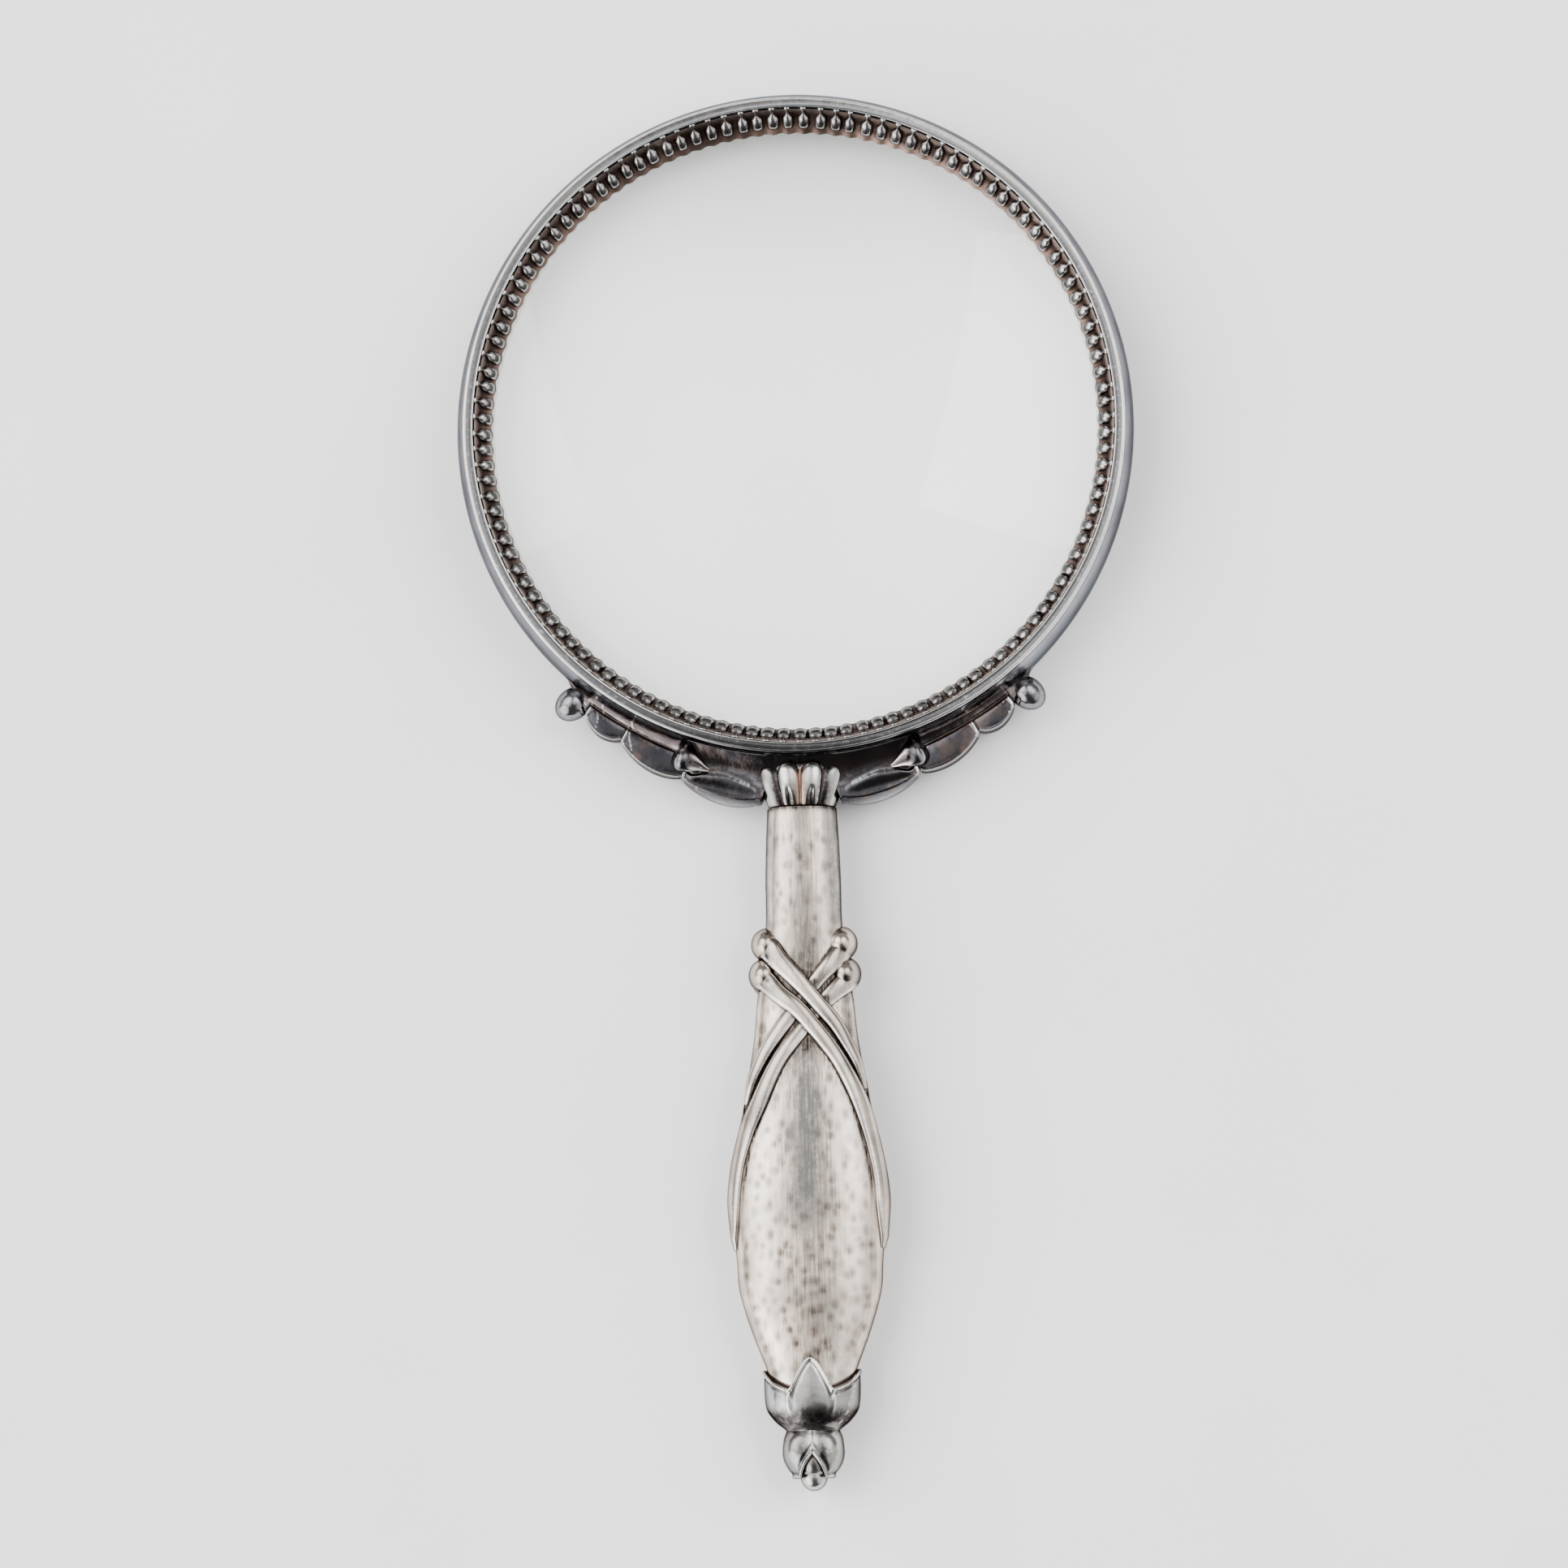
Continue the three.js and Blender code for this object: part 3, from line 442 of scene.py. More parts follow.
def ring_band():
    """Convex wall, thin line, worn ridge, hollow land and a fine inner edge, the same on both faces, with
    painted highlights on the ridge, the inner edge and the top, and painted shade on the land and near the
    handle.
    """
    wall = [(wall_radius(z), z) for z in np.linspace(0, 4.55, 12)]
    line = [(48.87, 4.68), (48.82, 4.78), (48.84, 4.88)]
    ridge = [
        (48.8, 5.08), (48.74, 5.28), (48.66, 5.44), (48.56, 5.54), (48.45, 5.57), (48.34, 5.55),
        (48.22, 5.5),
    ]
    land = [(48.08, 5.44), (47.8, 5.37), (47.48, 5.33)]
    edge = [(47.43, 5.37), (47.37, 5.43), (47.3, 5.41), (47.24, 5.25), (47.22, 4.6)]
    inside = [(47.22, z) for z in np.linspace(3.6, 0, 4)]
    parts = (wall, line, ridge, land, edge, inside)
    front = np.vstack(parts)
    ridge_highlight = share_of(parts, {1: (0, 0, 0.3), 2: (0.7, 1, 1, 1, 0.8, 0.3, 0)})
    top_highlight = share_of(parts, {2: (0, 0, 0, 0, 0.2, 0.7, 1), 3: (0.7, 0.3, 0)})
    ridge_part = share_of(parts, {1: (0.5, 1, 1), 2: (1,) * len(ridge)})
    land_part = share_of(parts, {2: (0, 0, 0, 0, 0, 0.5, 1), 3: (1, 1, 1), 4: (0.6, 0, 0, 0, 0)})
    edge_highlight = share_of(parts, {4: (0.1, 0.95, 0.8, 0.1, 0)})
    profile = np.vstack([front, front[-2:0:-1] * (1, -1)])
    angle = full_turn(RING_STEPS)
    points = beside_ring(profile[None, :, 0], angle[:, None], profile[None, :, 1])
    # Painted highlights: along the ridge, unevenly and not near the handle, on the inner edge, less at the
    # top, and over ridge and land at the top.
    highlight_wobble = 0.75 + 0.25 * np.sin(3 * angle + 0.6) * np.sin(7 * angle)
    away = from_handle(angle)[:, None]
    at_top = bell(away - 180, 42)
    highlight = ridge_highlight * highlight_wobble[:, None] * (1 - 0.97 * bell(away, 30))
    highlight = highlight + edge_highlight * (1 - 0.8 * bell(away - 180, 32)) + top_highlight * at_top
    # Painted shade on the land, but not at the top, and on the ridge near the handle.
    dim = land_part * (1 - 0.85 * at_top) + ridge_part * bell(away, 26)
    dim = np.clip(dim, 0, 1)
    add_piece("ring", ring_silver, "ring_band", points, loop_rows=True, dim=dim, bright=highlight)


BEADS = 124
STEPS_PER_BEAD = 6
RIM = np.array([46.95, 5.35])
SEAT = np.array([45.05, 1.45])
BEAD_RADIUS = 46
LIP_EXTRA = 0.7
LIP_TURN = 187
WORN_REACH = 62
SLOPE = SEAT - RIM
SLOPE_OUT = np.array([SLOPE[1], -SLOPE[0]]) / np.hypot(*SLOPE)
# Down the slope: share of its length, half width and swell of a pearl with its neck.
PEARL = np.array([
    (0.0, 0.34, 0.14), (0.03, 0.44, 0.22), (0.08, 0.3, 0.26), (0.14, 0.22, 0.3), (0.24, 0.22, 0.34),
    (0.3, 0.26, 0.4), (0.34, 0.46, 0.62), (0.39, 0.66, 0.84), (0.46, 0.79, 0.98), (0.56, 0.85, 1.06),
    (0.7, 0.9, 1.06), (0.83, 0.94, 1.0), (0.92, 0.93, 0.84), (0.97, 0.8, 0.6), (1.0, 0.5, 0.3),
])
PEARL_SQUARENESS = 0.75


def gallery_seat(side, word):
    """The sloping ring that the pearls hang on, with a lip that is widest at the top of the opening."""
    base = np.array([
        RIM + (0.1, -0.75), RIM + 0.55 * SLOPE - 0.5 * SLOPE_OUT, SEAT + (0.3, 0.1), SEAT + (-0.28, 0.0),
        SEAT + (-0.3, -0.1), (46.9, SEAT[1] - 0.3), (47.15, 3.0), (47.15, RIM[1] - 0.8),
    ])
    angle = full_turn(BEADS * STEPS_PER_BEAD)
    lip = 0.13 * np.cos(angle * BEADS)
    radius = base[:, 0] + 0 * angle[:, None]
    if side > 0:
        lip = lip + LIP_EXTRA * bell(angle / DEGREE - LIP_TURN, 50)
    radius[:, 3:5] -= lip[:, None]
    pale = 0.75 * bell(from_handle(angle), WORN_REACH)[:, None] + 0 * radius
    shade = (1 - pale) * np.array([1, 0.75, 0, 0, 0, 0, 0, 1])
    points = beside_ring(radius, angle[:, None], side * base[:, 1])
    add_piece(
        f"{word}_gallery_seat", seat_bronze, f"{word}_bead_gallery", points, slot="pearl_silver",
        loop_rows=True, shade=shade, pale=pale,
    )


def pearls(side, word):
    """Pearls that hang from short necks, as drop beads do, and are worn flat near the handle, with painted
    highlights at the bulbs' far ends and the necks' tops.
    """
    along, half, swell = PEARL.T
    turn = full_turn(14)
    across = half[:, None] * np.sign(np.cos(turn)) * np.abs(np.cos(turn)) ** PEARL_SQUARENESS
    lift = swell[:, None] * np.sign(np.sin(turn)) * np.abs(np.sin(turn)) ** PEARL_SQUARENESS - 0.25
    lift = lift[..., None] * SLOPE_OUT
    spot = RIM + along[:, None, None] * SLOPE + lift
    # Darker where the neck meets the bulb.
    neck = 0.35 * bell(along - 0.3, 0.06)[:, None]
    # Painted highlights at the bulb's far end and at the neck's top.
    shine = 0.85 * bell(along - 0.93, 0.09)[:, None] + 0.3 * bell(along - 0.03, 0.05)[:, None]
    shape = Shape()
    for bead in range(BEADS):
        wobble = 1 + 0.05 * rng.standard_normal()
        middle = (bead + 0.04 * rng.standard_normal()) / BEADS * TAU
        worn = float(bell(from_handle(middle), WORN_REACH))
        spread = middle + (wobble + 0.16 * worn) * across / BEAD_RADIUS
        flat = spot - 0.3 * worn * lift
        shape.grid(beside_ring(flat[..., 0], spread, side * flat[..., 1]), soot=neck, bright=shine)
    shape.build(f"{word}_pearls", pearl_silver, f"{word}_bead_gallery")


LENS_RADIUS = 46
LENS_EDGE = 2
LENS_SAG = 3.6


def lens():
    """An even biconvex glass, greyer towards the top as a painted shade, which lets lamp light through to
    the floor.
    """
    steps = np.linspace(1, 0, 24)[:-1]
    face = np.stack([LENS_RADIUS * steps, LENS_EDGE / 2 + LENS_SAG * (1 - steps**2)], -1)
    profile = np.vstack([face[::-1] * (1, -1), face])
    points = beside_ring(profile[:, 0, None], full_turn(160)[None, :], profile[:, 1, None])
    n = Finish("lens_glass")
    haze = n.noise(0.05, 3.0, offset=4.0)
    dust = n.ramp(n.noise(3.0, 6.0, offset=6.0, roughness=0.7), 0.66, 0.8)
    roughness = n.math("ADD", n.ramp(haze, 0.4, 0.7, 0.015, 0.035), n.math("MULTIPLY", dust, 0.12))
    split = n.add("ShaderNodeSeparateXYZ")
    n.link(n.mm, split.inputs[0])
    # Painted shade: the glass turns greyer towards the top.
    rim = n.ramp(split.outputs["Y"], RING_Y + 15, RING_Y + LENS_RADIUS)
    tint = n.mix(haze, (0.96, 0.98, 0.96), (0.95, 0.973, 0.947))
    tint = n.mix(rim, tint, (0.80, 0.81, 0.795))
    material = n.finish(tint, roughness, metallic=0.0, Transmission_Weight=1.0, IOR=1.52)
    glass = n.tree.nodes["Principled BSDF"]
    clear = n.add("ShaderNodeBsdfTransparent")
    n.feed(clear, Color=(0.93, 0.95, 0.935, 1))
    path = n.add("ShaderNodeLightPath")
    blend = n.add("ShaderNodeMixShader")
    sources = path.outputs["Is Shadow Ray"], glass.outputs[0], clear.outputs[0]
    for source, socket in zip(sources, blend.inputs):
        n.link(source, socket)
    n.feed(n.output, Surface=blend.outputs[0])
    add_piece("magnifying_lens", material, "lens", points)


# ---------- leaf brackets ----------
# Leaves lie between notches, given in degrees from the handle. Radii are from the ring's centre.
NOTCH = [7.0, 19.0, 30.0, 37.2]
REACH = [56.7, 55.1, 54.0]
NOTCH_RADIUS = [56.2, 54.5, 52.9, 52.2]
BRACKET_END = 43.5
BRACKET_FOOT = 4.25
BAND_HEIGHT = 2.35
BAND_RISE = 0.35
TAIL_RADIUS = 50.95
COLLAR_ROOT_RADIUS = 51.0
# The line where band and leaves meet, as (degrees from the handle, radius).
GROOVE = soft_curve([
    (-1.0, 54.0), (5.0, 54.0), (6.7, 53.9), (8.3, 53.4), (10.6, 52.8), (12.8, 52.6), (15.7, 53.1),
    (17.5, 53.6), (19.0, 52.6), (20.2, 51.2), (24, 50.95), (30, 50.8), (37.2, 50.75), (39, 50.5),
    (44, 50.0),
])


def leaf_edge(angle):
    """Outer radius, share along the leaf and number of the leaf for angles in degrees."""
    leaf = np.clip(np.searchsorted(NOTCH, angle, side="right") - 1, 0, 2)
    start, end = np.take(NOTCH, leaf), np.take(NOTCH, leaf + 1)
    share = np.clip((angle - start) / (end - start), 0, 1)
    first, second = np.take(NOTCH_RADIUS, leaf), np.take(NOTCH_RADIUS, leaf + 1)
    bulge = np.sin(math.pi * share) ** 0.7
    radius = first + (second - first) * share + (np.take(REACH, leaf) - (first + second) / 2) * bulge
    tail = np.clip((angle - NOTCH[3]) / (BRACKET_END - NOTCH[3]) * 2.4, 0, 1)
    past = angle > NOTCH[3]
    tail_end = TAIL_RADIUS - (TAIL_RADIUS - WALL_RADIUS) * smooth(angle, 40.5, BRACKET_END)
    radius = np.where(past, NOTCH_RADIUS[3] + (tail_end - NOTCH_RADIUS[3]) * tail, radius)
    return radius, share, leaf, past


def bracket_grid():
    """Where the points of a bracket lie: on the band next to the ring, or out on a leaf."""
    g = SimpleNamespace()
    g.angle = np.concatenate([np.arange(-0.2, 38, 0.11), np.arange(38, BRACKET_END, 0.3)])[:, None]
    g.reach = np.concatenate([np.linspace(0, 0.98, 34) ** 0.9, [0.99, 1.0]])[None, :]
    outer, share, g.leaf, g.past = leaf_edge(g.angle)
    outer = COLLAR_ROOT_RADIUS + (outer - COLLAR_ROOT_RADIUS) * smooth(g.angle, 4.8, 6.2)
    g.shrink = 1 - 0.45 * smooth(g.angle, 36.6, 41)
    inner = wall_radius(BRACKET_FOOT * g.shrink) - 0.1
    g.radius = inner + (outer - inner) * g.reach
    groove = np.interp(g.angle, GROOVE[:, 0], GROOVE[:, 1])
    g.past_groove = g.radius - groove
    g.into = np.clip(g.past_groove / np.maximum(outer - groove, 0.3), 0, 1)
    g.band = np.clip((g.radius - inner) / np.maximum(groove - inner, 0.3), 0, 1)
    g.on_leaf = smooth(g.into, 0.0, 0.06)
    g.bulge = np.sin(math.pi * share) ** 0.55
    g.drop = smooth(g.into, np.where(g.leaf == 0, 0.7, 0.92), 1.0)
    g.to_end = (np.take(NOTCH, np.clip(g.leaf + 1, 0, 3)) - g.angle) * g.radius * DEGREE
    g.to_rim = outer - g.radius
    curl = bell(np.minimum(g.to_end - 0.1, g.to_rim + 0.15) - 0.28, 0.24)
    g.curl = np.where(g.past, 0, curl * (g.into > 0) * smooth(g.into, 0.02, 0.2))
    return g


def leaf_height(g, floor):
    """A domed leaf with a curled rim and a valley before the next one. The first leaf is dished."""
    crown = (0.25 + 0.55 * g.bulge) * g.shrink
    dish = np.where(g.leaf == 0, 0.75 * bell(g.into - 0.55, 0.3), 0.18 * bell(g.into - 0.5, 0.3))
    arch = np.sin(math.pi * np.clip(g.into * 0.8 + 0.1, 0, 1)) ** 0.75
    dome = floor - 0.2 + crown * arch - g.bulge * dish
    lip = (0.4 + 0.55 * g.bulge) * g.shrink
    valley = np.where(g.past, 0, bell(g.to_end + 0.12, 0.3) * (g.into > 0.05))
    rim = 0.42 * g.curl * smooth(g.to_rim, 0.0, 0.4)
    return dome * (1 - g.drop) + lip * g.drop + (rim - 0.5 * valley) * g.shrink


def bracket_height(g):
    """Leaves, a hollow band that rises to the ring, and a plain tail behind the berry."""
    floor = (BAND_HEIGHT + BAND_RISE * (1 - smooth(g.angle, 16.5, 20))) * g.shrink
    hollow = floor + (BRACKET_FOOT * g.shrink - floor) * (1 - g.band) ** 1.9
    height = hollow * (1 - g.on_leaf) + leaf_height(g, floor) * g.on_leaf
    height = height - 0.22 * bell(g.past_groove, 0.16) * (g.angle > 16)
    height = np.where(g.past, hollow + (TAIL_RADIUS - g.radius) * 0.1, height)
    edge_round = np.sqrt(np.clip(1 - smooth(g.reach, 0.93, 1.0) ** 2, 0, 1))
    return np.maximum(height, 0.25) * (0.25 + 0.75 * edge_round)


def bracket_values(g):
    """Painted highlights on the curls and rims, painted grey glints, streaks and reflections on the band
    and the first leaf, and bronze in the hollows.
    """
    first = g.leaf == 0
    # Painted highlights on the curled ends and the rims.
    bright = 0.95 * g.curl * (g.to_end < g.to_rim + 0.6)
    bright = bright + 0.5 * bell(g.to_rim - 0.2, 0.1) * (g.bulge > 0.1)
    # Painted grey highlights and reflections: on the first leaf, glints at the notches, streaks and ripples
    # on the band.
    grey = 0.8 * g.drop * first * ~g.past
    grey = grey + 0.6 * first * bell(g.past_groove - 0.15, 0.35) * (g.angle > 8)
    glint = bell(g.angle - 21, 1.3) + bell(g.angle - 31.5, 1.2) + bell(g.angle - 38.6, 1.2)
    grey = grey + 0.8 * glint * bell(g.band - 0.8, 0.1) + 0.3 * bell(g.band - 0.7, 0.1) * (g.angle < 16)
    streak = 0.5 * bell(g.band - 0.78, 0.04) * (1 - g.on_leaf) * (0.6 + 0.4 * np.sin(g.angle * 1.9))
    ripple = 0.6 * bell(g.band - 0.88, 0.08) * (g.angle < 8) * (0.5 + 0.5 * np.cos(g.angle * 1.9))
    grey = np.maximum.reduce([np.clip(grey, 0, 0.9), streak, ripple])
    bronze = 0.4 * bell(g.past_groove, 0.4) * smooth(g.angle, 17, 20)
    bronze = bronze + 0.22 * (1 - g.on_leaf) * bell(g.band - 0.5, 0.25)
    spot = 0.6 * bell(np.hypot(g.radius - 54.2, (g.angle - 26.3) * 0.95), 0.55)
    bronze = np.clip(bronze * (1 - 0.8 * smooth(g.angle, 38, 40.5)) + spot, 0, 0.9)
    values = {"bright": np.clip(bright, 0, 1), "bronze": bronze, "grey": grey}
    return {key: np.concatenate([value, value[:, ::-1]], axis=1) for key, value in values.items()}


def bracket(side, word):
    """Leaves that overlap from the handle outwards, under a hollow band that meets the ring."""
    g = bracket_grid()
    height = bracket_height(g)
    ring_angle = side * g.angle * DEGREE
    front = beside_ring(g.radius, ring_angle, height)
    back = beside_ring(g.radius, ring_angle, -height)[:, ::-1]
    points = np.concatenate([front, back], axis=1)
    add_piece(f"{word}_leaves", dark_silver, f"{word}_leaf_bracket", points, **bracket_values(g))


BERRY_SEAT = 52.15
BERRY_ANGLE = 39.8
BERRY_LEAN = 52
BERRY_RADII = (2.35, 2.95, 2.7)


def berry(side, word):
    """An oval bead that leans outwards at the end of a bracket."""
    seat = beside_ring(BERRY_SEAT, side * BERRY_ANGLE * DEGREE, 0.0)
    points = ball((0, 0, 0), BERRY_RADII)
    tail = 1 - 0.12 * smooth(points[..., 1], 0.5, 2.6)
    points = points * np.stack([tail, np.ones_like(tail), tail], -1)
    turn = np.array(Matrix.Rotation(side * BERRY_LEAN * DEGREE, 3, "Z"))
    add_piece(f"{word}_berry_bead", dark_silver, f"{word}_berry", points @ turn.T + seat, grey=0.7)


BUD_ANGLE = 18.6
BUD_SEAT = 52.1
BUD_HEIGHT = 2.75
BUD_TROUGH = 0.23 * TAU
# Half widths along the bud, from its round end to the claw's point.
BUD_GIRTH = soft_curve([(-2.3, 0.2), (-1.95, 1.0), (-0.9, 1.75), (0.4, 1.62), (1.9, 0.92), (3.6, 0.16)])


def scroll_bud(side, face, word):
    """A plump bud whose claw is rolled up at both sides and points to the handle."""
    along = np.linspace(BUD_GIRTH[0, 0], BUD_GIRTH[-1, 0], 44)[:, None]
    turn = full_turn(32)[None, :]
    girth = np.interp(along, BUD_GIRTH[:, 0], BUD_GIRTH[:, 1])
    claw = smooth(along, 0.1, 1.2)
    aside = turn - BUD_TROUGH
    rolled = bell(aside + 0.85, 0.26) + bell(aside - 0.85, 0.26)
    trough = bell(aside, 0.5)
    shaped = girth * (1 + claw * (0.2 * rolled - 0.42 * trough))
    radius = BUD_SEAT + shaped * np.cos(turn) + 0.35 * smooth(along, 1.2, 3.6)
    angle = side * (BUD_ANGLE * DEGREE - along / BUD_SEAT)
    height = BUD_HEIGHT + 0.75 * girth + 0.8 * shaped * np.sin(turn)
    points = beside_ring(radius, np.broadcast_to(angle, radius.shape), face * height)
    # Painted highlights on the rolled ridges and a painted sheen on the round end; bronze lies in the
    # trough.
    bright = np.clip(claw * rolled + 0.2 * bell(along + 1.6, 0.5), 0, 1)
    values = {"bright": bright, "bronze": 0.25 * claw * trough, "grey": 0.5 * bell(along + 1.2, 0.8)}
    add_piece(f"{word}_claw", dark_silver, f"{word}_bud", points, **values)


# ---------- fluted collar ----------
# Rows of (y, half width, half thickness), as for every table of this kind below.
COLLAR = Table([(5.4, 6.9, 4.5), (2.6, 6.8, 4.9), (0, 6.4, 5.1), (-2, 5.6, 4.7), (-3.6, 4.85, 4.05)])
COLLAR_GROOVES = np.array([0, 56.6, 90, 123.4, 180]) * DEGREE
COLLAR_POWER = 2.2


def collar():
    """Fluted boss with four arched lobes on each face, the middle two pitted at their foot. Painted shade
    lies on the lobes' flanks, in the pits, in the saddle above and at the foot, painted highlights on the
    crests, and copper down the middle groove.
    """
    y = np.concatenate([np.linspace(5.6, 2.2, 26), np.linspace(2.1, -3.3, 50), [-3.42, -3.5, -3.55]])
    y = y[:, None]
    angle = full_turn(360)[None, :]
    folded = np.where(angle > math.pi, TAU - angle, angle)
    lobe = np.clip(np.searchsorted(COLLAR_GROOVES, folded, side="right") - 1, 0, 3)
    start, end = np.take(COLLAR_GROOVES, lobe), np.take(COLLAR_GROOVES, lobe + 1)
    share = (folded - start) / (end - start)
    taper = smooth(-y, -2.4, 3.6)
    plump = np.sin(math.pi * np.clip(share, 0, 1)) ** (0.4 + 0.2 * taper)
    arch = y + 1.5 * np.abs(2 * share - 1) ** 2.4
    dome = np.sqrt(np.clip(1 - smooth(arch, 1.5, 3.35) ** 2, 0, 1))
    depth = (0.2 - 0.035 * taper) * dome
    body = 0.82 + 0.04 * (1 - smooth(y, -4, 0.5)) - 0.12 * smooth(y, 2.6, 3.8)
    swell = body + depth * plump
    pit_share = np.clip((1.2 + y) / -4.6, 0, 1) * (y < -0.2)
    pit_middle = np.where(lobe == 1, 0.55, 0.45)
    pit = bell(share - pit_middle, 0.08 + 0.2 * pit_share) * smooth(-y, 0.2, 1.6)
    pit = np.where((lobe == 1) | (lobe == 2), pit, 0)
    swell = (swell - 0.055 * pit) * (1 - 0.05 * smooth(-y, 3.3, 3.6))
    points = oval(y, COLLAR(y, 1) * swell, COLLAR(y, 2) * swell, angle, COLLAR_POWER)
    # Painted shade in the saddle above the lobes.
    saddle = smooth(arch, 2.5, 3.2)
    copper = bell(folded - math.pi / 2, 0.075) * (1 - smooth(y, 1.6, 2.6))
    # Painted shade on the flanks, in the pits, which also hold grime, and at the foot, over a slightly
    # darker tone.
    soot = 1.15 * pit * smooth(-y, 0.4, 2.2) + 0.95 * (1 - plump) ** 1.3 + 0.6 * (1 - plump**4)
    soot = soot + 0.85 * saddle + bell(y + 3.5, 0.22) + 0.1
    soot = np.clip(soot, 0, 1) * (1 - 0.8 * copper)
    # Painted highlights on the crests.
    bright = np.clip(plump**5 * dome * smooth(y, -1.8, 0.8) * 0.55, 0, 1) * (1 - soot)
    values = {"soot": soot, "copper": 0.8 * copper, "bright": bright}
    add_piece("collar", chased_silver, "fluted_collar", points, **values)


# ---------- handle ----------
HANDLE = Table([
    (-3.5, 5.1, 4.3), (-8, 5.35, 4.35), (-14, 5.55, 4.4), (-20, 5.6, 4.1), (-25, 6.0, 3.6),
    (-31, 7.0, 3.35), (-37, 7.6, 3.65), (-43, 8.6, 4.3), (-49, 9.7, 4.7), (-55, 10.8, 5.05),
    (-60.5, 11.4, 5.25), (-65, 11.1, 5.3), (-69.5, 10.7, 5.3), (-73.5, 10.45, 5.25), (-77, 9.6, 5.1),
    (-80.5, 8.45, 4.9), (-83.4, 7.35, 4.65), (-85.1, 6.7, 4.5), (-87, 6.25, 4.35), (-89.6, 5.3, 3.9),
])
HANDLE_TOP = -3.5
HANDLE_END = -89.6
HANDLE_POWER = 2.25

# Routes of the straps, as (x, y, width).
ROUTES = {
    "upper_over": [
        (-6.1, -23.1, 4.2), (-4.9, -24.2, 3.5), (-3.55, -26.0, 2.85), (-1.0, -28.8, 2.55),
        (0.95, -31.1, 2.3), (2.75, -33.3, 2.25), (4.5, -35.6, 2.1), (6.1, -38.6, 1.8),
        (7.3, -41.3, 1.5), (8.4, -44.8, 0.7),
    ],
    "lower_over": [
        (-6.5, -28.1, 3.9), (-5.3, -28.95, 3.0), (-3.55, -30.85, 2.6), (-0.95, -33.05, 2.45),
        (1.1, -35.5, 2.4), (3.2, -38.2, 2.3), (4.8, -40.6, 2.2), (6.6, -44.1, 2.3), (8.1, -47.6, 2.6),
        (9.4, -51.6, 2.8), (10.3, -55.3, 3), (10.8, -58.8, 3), (10.95, -61.6, 3), (10.85, -64.8, 2.3),
        (10.65, -68, 0.8),
    ],
    "upper_under": [
        (6.5, -23.4, 4.0), (5.5, -24.6, 3.1), (3.6, -26.9, 2.45), (1.5, -29.4, 2.1), (-0.4, -31.9, 2),
        (-2.2, -34.3, 2), (-3.9, -36.5, 2.1), (-5.4, -38.8, 2), (-6.65, -41.2, 1.8), (-7.75, -44, 1.4),
        (-8.7, -46.8, 0.7),
    ],
    "lower_under": [
        (7.0, -28.1, 4.0), (5.95, -29.2, 3.1), (4.05, -30.95, 2.45), (2.2, -32.9, 2.1), (-0.3, -36.1, 2),
        (-2.1, -38.2, 2.1), (-3.7, -40.4, 2.1), (-5.2, -43.2, 2.2), (-6.8, -46.7, 2.4), (-8.6, -50.4, 2.7),
        (-9.9, -54.2, 2.9), (-10.6, -57.5, 3), (-10.95, -60.8, 3), (-10.85, -64.4, 2.3), (-10.65, -68, 0.8),
    ],
}
# Round marks on the straps, as (x, y, radius).
PUNCH_SPOTS = [
    (-5.5, -25.45, 0.5), (-5.3, -28.8, 0.42), (5.9, -24.5, 0.5), (6.35, -28.7, 0.5), (1.55, -29.2, 0.5),
    (3.3, -31.6, 0.55),
]
TARNISH_SPOTS = [
    (-3.9, -25.6, 1.1), (-4.4, -29.9, 0.9), (4.6, -25.8, 1.1), (5.2, -30.0, 0.9), (2.4, -28.3, 0.9),
    (-1.7, -36.0, 1.2), (-4.6, -39.4, 1.3), (3.0, -35.9, 1.1), (5.6, -42.0, 1.4), (0.6, -35.0, 0.9),
    (-8.0, -49.0, 1.6), (9.6, -52.5, 1.6),
]
# Soft oval patches on the handle, as (x, y, half width, half length, strength).
BRUSHED_AND_REFLECTED_PATCHES = [
    (-0.2, -55, 3.1, 9.5, 1.1), (0.3, -45.5, 2.2, 4, 0.8), (7.2, -61, 1.5, 7, 0.5),
    (3.6, -79.5, 1.0, 4, 0.5), (0.2, -72, 2.9, 9, 0.28), (5.6, -47, 1.3, 5, 0.6),
    (0.4, -25.6, 3.2, 3.2, 0.7), (0.3, -40.2, 2.6, 2.4, 0.6),
]
# Painted shade in the V-shaped notches above and below the crossing.
SHADED_PATCHES = [(0.4, -28.5, 2.2, 1.6, 1.4), (0.4, -26.4, 3.0, 2.4, 0.45), (0.3, -38.1, 1.5, 1.3, 1.3)]
CROSSING = (0.4, -33.0)
CROSSING_REACH = 5.2
CROSSING_LIFT = 0.3
CROSSING_THINNING = 0.5
STRAP_HEIGHT = 1.2
STRAP_FOOT = -0.12
STRAP_MARGIN = 0.08
WRAP_STEPS = 4


def handle_height(x, y):
    """Height of the handle's front face over its mid-plane at (x, y)."""
    share = np.clip(np.abs(x) / HANDLE(y, 1), 0, 0.9995)
    return HANDLE(y, 2) * (1 - share**HANDLE_POWER) ** (1 / HANDLE_POWER)


def handle_normal(x, y, z):
    """Outward directions of the handle's oval."""
    wide, thick = HANDLE(y, 1), HANDLE(y, 2)
    along_x = np.sign(x) * (np.abs(x) / wide) ** (HANDLE_POWER - 1) / wide
    along_z = (np.abs(z) / thick) ** (HANDLE_POWER - 1) / thick
    normal = np.stack(np.broadcast_arrays(along_x, 0.0, along_z), -1)
    return normal / np.linalg.norm(normal, axis=-1, keepdims=True)


